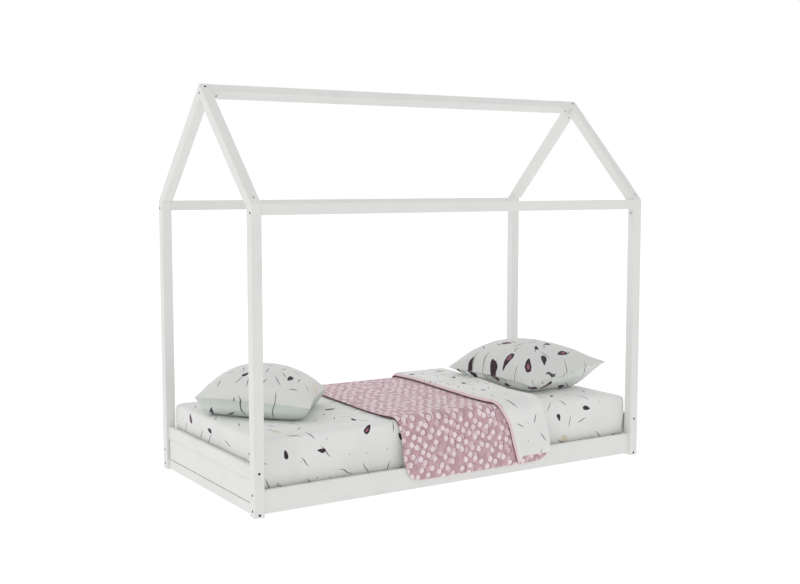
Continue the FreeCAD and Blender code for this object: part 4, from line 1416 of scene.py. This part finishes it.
@dataclass
class Pillow:
    """A filled pillow in a printed slip, laid flat: sharp corners, drawn-in sides and a full crown.

    Its corners are given in plan, as shares of its node's box, and its seam by the height of each corner over
    what it lies on. Places across and along it run from -1 to 1.
    """

    name: str
    node: str
    body: str
    corners: Tuple[Tuple[float, float], ...]
    seam_heights: Tuple[float, float, float, float]
    crown_shift: Tuple[float, float]
    sides: Tuple[float, float]
    seed: float
    bellies: Tuple[float, float, float, float] = (0.0, 0.0, 0.0, 0.0)
    drawn_in: float = 0.022
    fullness: float = 0.5
    contact: float = 0.50
    squareness: int = 6
    brim: float = 1.32
    pucker: float = 0.0012
    pucker_turns: float = 34.0
    pucker_from: float = 0.86
    crown_lump: float = 0.13
    crown_unevenness: float = 0.004
    petal_pitch: float = 0.13
    cover: Colour = tint(217, 218, 216)
    # painted shade: the under side's print has its own ground tone, set for the shade the under side falls in
    shaded_underside: Colour = tint(227, 230, 227)
    cells: int = 84
    edge_crowding: float = 0.35
    corner_hold: Tuple[float, float] = (0.08, 0.5)
    seam_hold: float = 0.12
    seam_freedom: float = 0.3
    pressure: float = 2.5
    spare: float = 0.035
    cap: float = 0.013
    slack: float = 0.008

    def build(self) -> bpy.types.Object:
        """Model the pillow.

        Returns:
            The finished piece.
        """
        halves = [self.half(face) for face in (1, -1)]
        piece = halves[0]
        active(piece)
        halves[1].select_set(True)
        bpy.ops.object.join()
        piece.name = self.name
        active(piece)
        bpy.ops.object.mode_set(mode="EDIT")
        bpy.ops.mesh.select_all(action="SELECT")
        bpy.ops.mesh.remove_doubles(threshold=1e-5)
        bpy.ops.object.mode_set(mode="OBJECT")
        blow(piece, self.pressure, self.spare, self.cap, stored(piece, "free"))
        self.settle(piece)
        store(piece, "crease_edge", "EDGE", self.seam(piece))
        subdivide_smoothly(piece)
        self.settle(piece)
        bpy.ops.object.shade_smooth()
        piece.data.polygons.foreach_set("material_index", self.under(piece).astype(np.int32))
        piece.data.edges.foreach_set("use_edge_sharp", self.seam(piece))
        piece.data.update()
        return piece

    def settle(self, piece: bpy.types.Object) -> None:
        """Keep the pillow from sinking into what it lies on.

        Args:
            piece: The pillow.
        """
        points = points_of(piece)
        points[:, 2] = np.maximum(points[:, 2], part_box(self.node)[0].z)
        set_points(piece, points)

    def under(self, piece: bpy.types.Object) -> np.ndarray:
        """Which faces belong to the under side."""
        return stored(piece, "under") > 0.5

    def seam(self, piece: bpy.types.Object) -> np.ndarray:
        """Which edges lie between the upper side and the under side.

        Args:
            piece: The closed cover.

        Returns:
            True or False for each edge.
        """
        mesh = piece.data
        edges = read(mesh.loops, "edge_index", np.int32)
        back = np.repeat(self.under(piece), read(mesh.polygons, "loop_total", np.int32))
        touched = [np.bincount(edges[back == side], minlength=len(mesh.edges)) > 0 for side in (False, True)]
        return touched[0] & touched[1]

    def half(self, face: int) -> bpy.types.Object:
        """One side of the slip.

        Args:
            face: 1 for the upper side, -1 for the under side.

        Returns:
            A sheet whose edge is the seam.
        """
        deselect()
        bpy.ops.mesh.primitive_grid_add(x_subdivisions=self.cells, y_subdivisions=self.cells, size=2)
        piece = bpy.context.object
        even = points_of(piece)[:, :2]
        crowded = np.sin(even * math.pi / 2) * self.edge_crowding + even * (1 - self.edge_crowding)
        u, v = crowded[:, 0], crowded[:, 1]
        corner_uvs(piece, self.cloth(u, v, face)[loop_vertices(piece)])
        set_points(piece, self.shape(u, v, face))
        to_corner = np.hypot(1 - np.abs(u), 1 - np.abs(v))
        to_seam = 1 - np.maximum(np.abs(u), np.abs(v))
        near_seam = self.seam_freedom + (1 - self.seam_freedom) * ease(to_seam, 0.0, self.seam_hold)
        store(piece, "free", "POINT", ease(to_corner, *self.corner_hold) * near_seam)
        store(piece, "under", "FACE", np.full(len(piece.data.polygons), float(face < 0)))
        if face < 0:
            active(piece)
            bpy.ops.object.mode_set(mode="EDIT")
            bpy.ops.mesh.select_all(action="SELECT")
            bpy.ops.mesh.flip_normals()
            bpy.ops.object.mode_set(mode="OBJECT")
        return piece

    def cloth(self, u: np.ndarray, v: np.ndarray, face: int) -> np.ndarray:
        """Places on the cloth in metres, the under side's carrying on from the upper side's.

        Args:
            u: Place across the pillow.
            v: Place along the pillow.
            face: 1 for the upper side, -1 for the under side.

        Returns:
            Cloth coordinates.
        """
        across, along = self.sides[0] / 2, self.sides[1] / 2
        start = 0.0 if face > 0 else -self.sides[1]
        return np.column_stack([u * across + self.seed, start + face * v * along])

    def shape(self, u: np.ndarray, v: np.ndarray, face: int) -> np.ndarray:
        """Places in the bed's frame.

        Args:
            u: Place across the pillow.
            v: Place along the pillow.
            face: 1 for the upper side, -1 for the under side.

        Returns:
            One point to a row.
        """
        low, high = (np.array(corner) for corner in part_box(self.node))
        corners = []
        for place, height in zip(self.corners, self.seam_heights):
            spot = low[:2] + (high - low)[:2] * place
            corners.append(np.array([*spot, low[2] + height]))
        weights = [(1 - u) * (1 - v) / 4, (1 + u) * (1 - v) / 4, (1 + u) * (1 + v) / 4, (1 - u) * (1 + v) / 4]
        points = sum(weight[:, None] * corner for weight, corner in zip(weights, corners))
        sides = self.draw_in(points, corners, u, v)
        if face > 0:
            self.crown(points, high[2] - self.slack, u, v)
        else:
            self.rest(points, low[2], sides, u, v)
        return points

    def draw_in(
        self, points: np.ndarray, corners: Sequence[np.ndarray], u: np.ndarray, v: np.ndarray
    ) -> List[PillowSide]:
        """Bow each side of the seam inwards between its corners, and pucker it.

        Args:
            points: The points of the flat slip, which are moved.
            corners: The slip's corners.
            u: Place across the pillow.
            v: Place along the pillow.

        Returns:
            The four sides.
        """
        centre = sum(corners) / 4
        sides = []
        for index, (run, toward) in enumerate(((u, -v), (v, u), (u, v), (v, -u))):
            middle = (corners[index] + corners[(index + 1) % 4]) / 2
            inward = (centre - middle) * (1, 1, 0)
            inward = inward / np.linalg.norm(inward)
            gathers = np.sin(run * self.pucker_turns + np.sin(run * 9 + self.seed) * 3)
            puckers = gathers * self.pucker * ease(toward, self.pucker_from, 1.0)
            bow = self.drawn_in * (1 - run**2) * (1 + toward) / 2 + puckers * (1 - run**2)
            points += inward * bow[:, None]
            sides.append(PillowSide(self.bellies[index], inward, run, toward))
        return sides

    def crown(self, points: np.ndarray, top: float, u: np.ndarray, v: np.ndarray) -> None:
        """Raise the upper side to its crown.

        Args:
            points: The points of the upper side, which are moved.
            top: The height of the crown.
            u: Place across the pillow.
            v: Place along the pillow.
        """
        rise = np.clip((1 - u**2) * (1 - v**2), 0, 1) ** self.fullness
        points[:, 2] += (top - points[:, 2]) * rise
        points[:, :2] += np.array(self.crown_shift) * rise[:, None]
        to_seam = 1 - np.maximum(np.abs(u), np.abs(v))
        uneven = lumps(points, self.crown_lump, self.seed) * self.crown_unevenness
        points[:, 2] += uneven * ease(to_seam, 0.0, 0.3)

    def rest(
        self, points: np.ndarray, floor: float, sides: Sequence[PillowSide], u: np.ndarray, v: np.ndarray
    ) -> None:
        """Lay the under side on what carries it, and let it swell up from there to the seam.

        Args:
            points: The points of the under side, which are moved.
            floor: The height of what carries it.
            sides: The pillow's four sides.
            u: Place across the pillow.
            v: Place along the pillow.
        """
        ring = (u**self.squareness + v**self.squareness) ** (1 / self.squareness)
        rim = ring / np.maximum(np.maximum(np.abs(u), np.abs(v)), 1e-6)
        share = (ring - self.contact) / (rim - self.contact)
        brim = (self.brim - self.contact) / (1 - self.contact)
        lift = np.clip(ease(share, 0.0, brim) / ease(np.array(1.0), 0.0, brim), 0, 1)
        for side in sides:
            swell = side.belly * (1 - side.run**2) * ease(side.toward, 0.0, 0.85) * 4 * lift * (1 - lift)
            points -= side.inward * swell[:, None]
        points[:, 2] = floor + (points[:, 2] - floor) * lift

    def finish(self, piece: bpy.types.Object) -> None:
        """Dress the pillow and give it its place in the frame.

        Args:
            piece: The pillow.
        """
        look = {
            "petal_pitch": self.petal_pitch,
            "petal_length": 0.034,
            "petal_share": 0.72,
            "stroke_pitch": 0.075,
            "stroke_length": 0.032,
        }
        upper = Print(f"{self.name}_print", self.cover, shade=self.cover, **look)
        # painted shade: the under side wears a copy of the print in its own shaded tone
        under = Print(f"{self.name}_under_print", self.shaded_underside, shade=self.shaded_underside, **look)
        dress(piece, [upper.material(), under.material()])
        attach(piece, self.body)
        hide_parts(self.node)


class Fall:
    """A line in a Y-Z plane over the rail and the mattress, with rounded corners, that cloth follows.

    Each rounded corner has ARC_POINTS points. The way the line runs at a place is read from PROBE metres
    before it to as far past it.
    """

    ARC_POINTS = 24
    PROBE = 0.004

    def __init__(self, corners: Sequence[Tuple[float, float]], radii: Sequence[float]) -> None:
        """Work the line out.

        Args:
            corners: Its ends and corners, as Y and Z.
            radii: The radius at each corner between the ends.
        """
        corners = [np.array(corner, float) for corner in corners]
        run: List[np.ndarray] = [corners[0]]
        for before, corner, after, radius in zip(corners, corners[1:], corners[2:], radii):
            back = (before - corner) / np.linalg.norm(before - corner)
            ahead = (after - corner) / np.linalg.norm(after - corner)
            half = math.acos(np.dot(back, ahead)) / 2
            centre = corner + (back + ahead) / np.linalg.norm(back + ahead) * radius / math.sin(half)
            start = corner + back * radius / math.tan(half) - centre
            sweep = math.pi - 2 * half
            for share in np.linspace(0, 1, self.ARC_POINTS):
                angle = -sweep * share
                turn = np.array([[math.cos(angle), -math.sin(angle)], [math.sin(angle), math.cos(angle)]])
                run.append(centre + turn @ start)
        run.append(corners[-1])
        self.run = np.array(run)
        steps = np.linalg.norm(np.diff(self.run, axis=0), axis=1)
        self.length = np.concatenate([[0], np.cumsum(steps)])

    def place(self, distance: np.ndarray) -> Tuple[np.ndarray, np.ndarray]:
        """Points of the line, and the way that faces outward there.

        Args:
            distance: Lengths along the line from its front end.

        Returns:
            Points and outward directions, as Y and Z.
        """
        way = self.point(distance + self.PROBE) - self.point(distance - self.PROBE)
        way = way / np.linalg.norm(way, axis=-1, keepdims=True)
        return self.point(distance), np.stack([-way[..., 1], way[..., 0]], axis=-1)

    def point(self, distance: np.ndarray) -> np.ndarray:
        """Points of the line, as Y and Z, at lengths along it."""
        return np.stack([np.interp(distance, self.length, self.run[:, axis]) for axis in (0, 1)], axis=-1)


def through(stations: Sequence[Tuple[float, float]], at: np.ndarray) -> np.ndarray:
    """A smooth curve through stations.

    Args:
        stations: Pairs of a place and a value, in order.
        at: The places where the curve is read.

    Returns:
        The values there.
    """
    places, values = np.array(stations).T
    slopes = np.gradient(values, places)
    index = np.clip(np.searchsorted(places, at) - 1, 0, len(places) - 2)
    width = places[index + 1] - places[index]
    share = np.clip((at - places[index]) / width, 0, 1)
    square, cube = share**2, share**3
    return (
        values[index] * (2 * cube - 3 * square + 1)
        + slopes[index] * width * (cube - 2 * square + share)
        + values[index + 1] * (3 * square - 2 * cube)
        + slopes[index + 1] * width * (cube - square)
    )


@dataclass
class Quilt:
    """A quilt laid askew over the middle of the bed, its right part folded back over itself.

    Its outline is given by three lines that run from the front hem to the rear: the left edge, the fold and
    the edge of the folded part. Each is a list of pairs: a distance from the mattress's front edge, less than
    zero down the drop, and a distance from the bed's left end. Rows of cells lie closer together between the
    bends, which are given by their distance past the front edge and before the rear hem. Lumps are given by
    their size, seed and height, and waves by their height, turns to the metre and start.
    """

    left_edge: Tuple[Tuple[float, float], ...] = (
        (-0.278, 0.772), (-0.250, 0.742), (-0.215, 0.727), (-0.050, 0.716), (0.0, 0.702), (0.045, 0.686),
        (0.160, 0.676), (0.400, 0.682), (0.900, 0.702), (1.100, 0.706))
    fold: Tuple[Tuple[float, float], ...] = (
        (-0.278, 1.522), (-0.171, 1.525), (-0.100, 1.519), (-0.020, 1.500), (0.030, 1.482), (0.146, 1.478),
        (0.395, 1.515), (0.664, 1.552), (0.900, 1.560), (1.100, 1.560))
    flap_edge: Tuple[Tuple[float, float], ...] = (
        (-0.278, 1.336), (-0.193, 1.311), (-0.079, 1.292), (-0.020, 1.262), (0.020, 1.232), (0.095, 1.223),
        (0.310, 1.232), (0.560, 1.254), (0.733, 1.262), (0.860, 1.254), (1.100, 1.240))
    columns: Tuple[int, int, int] = (56, 9, 34)
    rows: Tuple[int, int, int, int, int] = (25, 9, 46, 8, 10)
    front_bends: Tuple[float, float] = (-0.045, 0.030)
    rear_bends: Tuple[float, float] = (0.215, 0.155)
    thickness: float = 0.009
    clearance: float = 0.0008
    corner_radii: Tuple[float, float, float] = (0.045, 0.030, 0.022)
    hem: float = 0.047
    flap_hem: float = 0.084
    flap_droop: float = 0.05
    corner_rise: float = 0.006
    fold_rise: Tuple[float, float] = (0.93, 0.7)
    droop_span: Tuple[float, float] = (0.78, 0.97)
    corner_span: float = 0.05
    rear_hem: float = 0.140
    front_edge: Tuple[float, float] = (0.03, -0.10)
    rear_edge: Tuple[float, float] = (0.20, 0.12)
    loft: float = 0.0022
    edge_sink: float = 0.0018
    stack: float = 0.0235
    hang_stack: float = 0.0098
    lip: float = 0.020
    strip: float = 0.015
    # where the dark plum rim, partly a painted shadow, starts along the left edge
    bound_from: float = 0.235
    large_lumps: Tuple[float, float, float] = (0.16, 2.0, 0.0016)
    small_lumps: Tuple[float, float, float] = (0.06, 5.0, 0.0007)
    lump_floor: float = -0.0005
    lump_level: float = 0.0008
    hang_smooths: float = 0.6
    swing_reach: float = -0.24
    wave_lean: float = 0.25
    wide_wave: Tuple[float, float, float] = (0.0024, 31.0, 0.6)
    narrow_wave: Tuple[float, float, float] = (0.0014, 73.0, 2.0)

    def build(self) -> bpy.types.Object:
        """Model the quilt.

        Returns:
            The finished piece.
        """
        columns, rows = sum(self.columns), sum(self.rows)
        deselect()
        bpy.ops.mesh.primitive_grid_add(x_subdivisions=columns, y_subdivisions=rows, size=2)
        piece = bpy.context.object
        piece.name = "folded_quilt"
        order = points_of(piece)
        column = np.rint((order[:, 0] + 1) / 2 * columns).astype(int)
        row = np.rint((order[:, 1] + 1) / 2 * rows).astype(int)
        points, across, along = self.shape()
        set_points(piece, points[row, column])
        uvs = np.column_stack([across[row, column], along[row, column]])
        corner_uvs(piece, uvs[loop_vertices(piece)])
        from_edge = across[row, -1] - across[row, column]
        store(piece, "edging", "POINT", ease(from_edge, self.strip * 1.25, self.strip * 0.75))
        # the dark plum rim, partly real edging and partly a painted shadow under the edge: on the left edge
        # only where it lies on top, and all along the folded part's edge
        on_top = along[row, column] > along[0, 0] + self.bound_from
        store(piece, "bound", "POINT", ((column == 0) & on_top) | (column == columns))
        self.thicken(piece)
        return piece

    def line(self) -> Fall:
        """The line over the rail and the mattress that the quilt's under side follows.

        Returns:
            The line, from the front hem to the rear hem.
        """
        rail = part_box("side_rail_front")
        low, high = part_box("mattress")
        front, top, rear = low.y - self.clearance, high.z + self.clearance, high.y + self.clearance
        hung = rail[0].y - self.clearance
        corners = ((hung, self.hem), (hung, rail[1].z), (front, top), (rear, top), (rear, self.rear_hem))
        return Fall(corners, self.corner_radii)

    def drop(self) -> float:
        """How long the front drop is, from the mattress's front edge to the lowest part of the hem.

        Returns:
            Its length in metres.
        """
        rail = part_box("side_rail_front")
        low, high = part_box("mattress")
        front, top = low.y - self.clearance, high.z + self.clearance
        return (rail[1].z - self.hem) + math.hypot(rail[0].y - self.clearance - front, top - rail[1].z)

    def shares(self) -> Tuple[np.ndarray, np.ndarray, np.ndarray]:
        """How far each column is over the lower layer, round the fold and over the folded part.

        Returns:
            Three shares from 0 to 1 for each column.
        """
        lower, turn, upper = self.columns
        span = np.arange(sum(self.columns) + 1)
        parts = ((0, lower), (lower, turn), (lower + turn, upper))
        return tuple(np.clip((span - start) / width, 0, 1) for start, width in parts)

    def distances(self, total: float, drop: float, start: np.ndarray) -> np.ndarray:
        """How far each point of the cloth is along the line.

        Args:
            total: The line's length.
            drop: The length of the front drop.
            start: How far each column's hem is above the lowest line.

        Returns:
            Lengths by row and column.
        """
        ends = [drop + bend for bend in self.front_bends]
        ends += [total - bend for bend in self.rear_bends] + [total]
        marks = [0.0]
        for end, count in zip(ends, self.rows):
            marks.extend(np.linspace(marks[-1], end, count + 1)[1:])
        share = start / total
        return total * (share[None, :] + (np.array(marks) / total)[:, None] * (1 - share[None, :]))

    def shape(self) -> Tuple[np.ndarray, np.ndarray, np.ndarray]:
        """Lay the quilt's middle surface over the bed.

        Returns:
            Points, places across the cloth and places along it, each by row and column.
        """
        line, drop = self.line(), self.drop()
        total = line.length[-1]
        on_lower, on_turn, on_upper = self.shares()
        distance = self.distances(total, drop, self.lift(on_lower, on_turn, on_upper))
        at = distance - drop
        behind = total - drop - np.array(self.rear_edge)
        hung = ease(at, *self.front_edge) + ease(at, *behind)
        x, out = self.layers(at, hung)

        spot, facing = line.place(distance)
        plain = np.stack([x, spot[..., 0], spot[..., 1]], axis=-1).reshape(-1, 3)
        soft = sum(
            lumps(plain, size, seed).reshape(at.shape) * height
            for size, seed, height in (self.large_lumps, self.small_lumps)
        )
        swing = self.waves(x, at) * ease(at, 0.0, self.swing_reach)
        uneven = np.maximum(soft + self.lump_level, self.lump_floor) * (1 - hung * self.hang_smooths)
        out = out + uneven + swing
        raised = spot + facing * out[..., None]
        points = np.stack([x, raised[..., 0], raised[..., 1]], axis=-1)

        reach = np.cumsum(np.linalg.norm(np.diff(points, axis=1), axis=-1), axis=1)
        across = points[:, :1, 0] + np.concatenate([np.zeros((len(reach), 1)), reach], axis=1)
        return points, across, distance

    def layers(self, at: np.ndarray, hung: np.ndarray) -> Tuple[np.ndarray, np.ndarray]:
        """Run the cloth from its left edge to the fold, round it, and back to the edge of the folded part.

        Args:
            at: Distances past the mattress's front edge, by row and column.
            hung: How much of each place hangs down, from 0 to 1.

        Returns:
            Places along the bed, and heights over the line, by row and column.
        """
        on_lower, on_turn, on_upper = (share[None, :] for share in self.shares())
        edges = (self.left_edge, self.fold, self.flap_edge)
        left, fold, flap = (CAD_BOX[0].x + through(edge, at) for edge in edges)
        rest = self.thickness / 2 + self.loft * (1 - hung)
        rest = rest - self.edge_sink * (1 - hung) * ease(on_lower * 0.75 * np.ones_like(at), 0.05, 0.0)
        stack = self.stack + (self.hang_stack - self.stack) * hung
        radius = stack / 2
        angle = on_turn * math.pi
        flap_run = fold - radius - flap
        down = (1 - np.clip((1 - on_upper) * flap_run / self.lip, 0, 1)) ** 2
        settle = (stack - self.hang_stack) * (1 - np.sqrt(np.clip(1 - down, 0, 1)))

        x = left + (fold - radius - left) * on_lower
        x = np.where(on_turn > 0, fold - radius + radius * np.sin(angle), x)
        x = np.where(on_upper > 0, fold - radius - flap_run * on_upper, x)
        return x, rest + radius * (1 - np.cos(angle)) - settle * (on_upper > 0)

    def lift(self, on_lower: np.ndarray, on_turn: np.ndarray, on_upper: np.ndarray) -> np.ndarray:
        """How far the front hem is above its lowest line in each column.

        Args:
            on_lower: Share of the way over the lower layer.
            on_turn: Share of the way round the fold.
            on_upper: Share of the way over the folded part.

        Returns:
            Lengths in metres.
        """
        raised = self.flap_hem - self.hem
        rise_from, before_turn = self.fold_rise
        to_fold = ease(on_lower, rise_from, 1.0) * before_turn + ease(on_turn, 0.0, 1.0) * (1 - before_turn)
        droop = ease(on_upper, *self.droop_span) * (raised - (self.flap_droop - self.hem))
        corner = ease(on_lower, self.corner_span, 0.0) * self.corner_rise
        return raised * to_fold - droop + corner

    def waves(self, x: np.ndarray, at: np.ndarray) -> np.ndarray:
        """Slack in the drop, which swings out in shallow folds.

        Args:
            x: Place along the bed.
            at: Distance from the mattress's front edge, less than zero down the drop.

        Returns:
            How far the cloth stands out.
        """
        lean = x + at * self.wave_lean
        waves = (self.wide_wave, self.narrow_wave)
        return sum(height * (1 + np.sin(lean * turns + start)) / 2 for height, turns, start in waves)

    def thicken(self, piece: bpy.types.Object) -> None:
        """Give the surface its filling and round its edges.

        Args:
            piece: The quilt's middle surface.
        """
        # the rim's dark plum cloth is partly real edging and partly a painted shadow under the quilt's edge
        pink, printed, binding_and_shadow = 0, 1, 2
        dress(piece, [SpottedPlush().material(), self.reverse().material(), BindingAndShadow().material()])
        solid = piece.modifiers.new("filling", "SOLIDIFY")
        solid.thickness = self.thickness
        solid.offset = 0
        solid.use_even_offset = True
        solid.material_offset = printed
        solid.material_offset_rim = binding_and_shadow
        apply_modifiers(piece)
        bound = stored(piece, "bound")
        for polygon in piece.data.polygons:
            if polygon.material_index == binding_and_shadow and bound[list(polygon.vertices)].min() < 0.5:
                polygon.material_index = pink
        piece.data.attributes.remove(piece.data.attributes["bound"])
        subdivide_smoothly(piece)
        bpy.ops.object.shade_smooth()

    def reverse(self) -> Print:
        """The printed cotton of the quilt's other side, edged with a strip of its pink face.

        Returns:
            The finish.
        """
        return Print(
            "quilt_reverse_print",
            tint(234, 235, 233),
            petal_pitch=0.17,
            petal_length=0.024,
            petal_share=0.55,
            stroke_pitch=0.085,
            stroke_length=0.030,
            edging=tint(230, 203, 210),
        )

    def finish(self, piece: bpy.types.Object) -> None:
        """Give the quilt its place in the frame.

        Args:
            piece: The quilt.
        """
        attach(piece, "quilt")
        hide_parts("quilt")


# ---------------------------------------------------------------- the studio


class Fade(NamedTuple):
    """A share of the sky's light that eases from one value to another along an axis."""

    axis: str
    start: float
    end: float
    first: float
    last: float


@dataclass
class Studio:
    """A plain pale floor, soft light and the camera.

    The camera's place and angles were solved from the edges of the frame. The floor glows, so that it is as
    pale as the sky and the bed's shadow on it stays faint.
    """

    camera_place: Triple = (-2.9849, -4.6475, 1.3499)
    camera_tilt: float = -5.427
    camera_turn: float = -32.414
    lens: float = 51.95
    farthest: float = 500.0
    floor_side: float = 600.0
    floor_colour: Colour = tint(66, 66, 66)
    floor_patch: Colour = tint(60, 60, 60)
    floor_patch_scale: float = 0.7
    floor_patch_shown: float = 0.2
    floor_roughness: float = 0.9
    floor_glow: float = 0.965
    sky: float = 1.0
    front_fade: Fade = Fade("Y", -0.75, 0.1, -0.32, 0.0)
    horizon_fade: Fade = Fade("Z", 0.13, 0.2, 0.0, 1.0)
    overhead_fade: Fade = Fade("Z", 0.25, 1.0, 1.0, 0.87)
    box_place: Triple = (-1.2, -0.6, 4.2)
    box_target: Triple = (0.0, 0.0, 0.3)
    box_side: float = 3.2
    box_power: float = 4.0

    def build(self) -> None:
        """Lay the floor, hang the lights and place the camera."""
        self.floor()
        self.light()
        self.box()
        self.camera()
        bpy.context.scene.view_settings.view_transform = "Standard"

    def floor(self) -> None:
        """Lay the floor under the bed's feet."""
        deselect()
        bpy.ops.mesh.primitive_plane_add(size=self.floor_side, location=(0, 0, 0))
        floor = bpy.context.object
        floor.name = "studio_floor"
        graph = Graph("studio_floor")
        place = graph.node("ShaderNodeTexCoord").outputs["Object"]
        patches = graph.cloud(place, self.floor_patch_scale)
        colour = graph.blend(patches * self.floor_patch_shown, self.floor_colour, self.floor_patch)
        dress(floor, [graph.finish(colour, self.floor_roughness, Emission_Strength=self.floor_glow)])
        graph.surface.inputs["Emission Color"].default_value = WHITE
        graph.material.cycles.emission_sampling = "NONE"

    def light(self) -> None:
        """Surround the bed with a pale sky, dimmer overhead and above the front horizon."""
        world = bpy.data.worlds.new("studio")
        world.use_nodes = True
        tree = world.node_tree
        tree.nodes.clear()
        coordinates = tree.nodes.new("ShaderNodeTexCoord")
        way = tree.nodes.new("ShaderNodeSeparateXYZ")
        dimmed = tree.nodes.new("ShaderNodeMath")
        product = tree.nodes.new("ShaderNodeMath")
        background = tree.nodes.new("ShaderNodeBackground")
        output = tree.nodes.new("ShaderNodeOutputWorld")
        dimmed.operation = "MULTIPLY_ADD"
        dimmed.inputs[2].default_value = self.sky
        product.operation = "MULTIPLY"
        background.inputs["Color"].default_value = WHITE
        fades = (
            (self.front_fade, dimmed.inputs[0]),
            (self.horizon_fade, dimmed.inputs[1]),
            (self.overhead_fade, product.inputs[1]),
        )
        for fade, target in fades:
            ramp = tree.nodes.new("ShaderNodeMapRange")
            ramp.interpolation_type = "SMOOTHSTEP"
            for name, value in zip(("From Min", "From Max", "To Min", "To Max"), fade[1:]):
                ramp.inputs[name].default_value = value
            tree.links.new(way.outputs[fade.axis], ramp.inputs["Value"])
            tree.links.new(ramp.outputs[0], target)
        tree.links.new(coordinates.outputs["Generated"], way.inputs[0])
        tree.links.new(dimmed.outputs[0], product.inputs[0])
        tree.links.new(product.outputs[0], background.inputs["Strength"])
        tree.links.new(background.outputs[0], output.inputs["Surface"])
        world.cycles.sampling_method = "NONE"
        bpy.context.scene.world = world

    def box(self) -> None:
        """Hang one soft box over the bed."""
        deselect()
        bpy.ops.object.light_add(type="AREA", location=self.box_place)
        box = bpy.context.object
        box.name = "overhead_box"
        box.data.size = self.box_side
        box.data.energy = self.box_power
        facing = Vector(self.box_target) - Vector(self.box_place)
        box.rotation_euler = facing.to_track_quat("-Z", "Y").to_euler()

    def camera(self) -> None:
        """Place the camera at the photograph's angle."""
        deselect()
        turn = (math.radians(90 + self.camera_tilt), 0, math.radians(self.camera_turn))
        bpy.ops.object.camera_add(location=self.camera_place, rotation=turn)
        camera = bpy.context.object
        camera.name = "photo_camera"
        camera.data.lens = self.lens
        camera.data.clip_end = self.farthest
        bpy.context.scene.camera = camera


LEFT_PILLOW = Pillow(
    name="left_cushion",
    node="pillow_left",
    body="left_pillow",
    corners=((0.0, 0.574), (0.5465, 0.0), (1.0, 0.455), (0.4776, 1.0)),
    seam_heights=(0.078, 0.066, 0.072, 0.078),
    crown_shift=(0.004, -0.012),
    sides=(0.58, 0.47),
    seed=6.0,
    bellies=(0.066, 0.006, 0.02, 0.02),
    drawn_in=0.018,
    fullness=0.54,
    contact=0.81,
    squareness=6,
    brim=1.25,
    slack=0.002,
    spare=0.012,
    cap=0.005,
    petal_pitch=0.14,
    cover=tint(224, 225, 223),
    # painted shade: a darker, greener ground for the under side
    shaded_underside=tint(201, 208, 203),
)
RIGHT_PILLOW = Pillow(
    name="right_cushion",
    node="pillow_right",
    body="right_pillow",
    corners=((0.167, 0.032), (1.0, 0.0), (0.833, 0.968), (0.0, 1.0)),
    seam_heights=(0.050, 0.134, 0.140, 0.074),
    crown_shift=(0.03, 0.06),
    sides=(0.50, 0.62),
    seed=11.0,
)


def main() -> None:
    """Dress the frame, make the bed up and set the studio."""
    logging.basicConfig(level=logging.INFO, format="%(name)s: %(message)s")
    for group in (HouseFrame(), SlatBase(), Fastenings()):
        log.info("%s: %d finished", type(group).__name__, group.dress())
    for maker in (Mattress(), LEFT_PILLOW, Quilt(), RIGHT_PILLOW):
        piece = maker.build()
        maker.finish(piece)
        log.info("%s: %d faces", piece.name, len(piece.data.polygons))
    Studio().build()
    log.info("studio: floor, lights and camera")


if __name__ == "__main__":
    main()
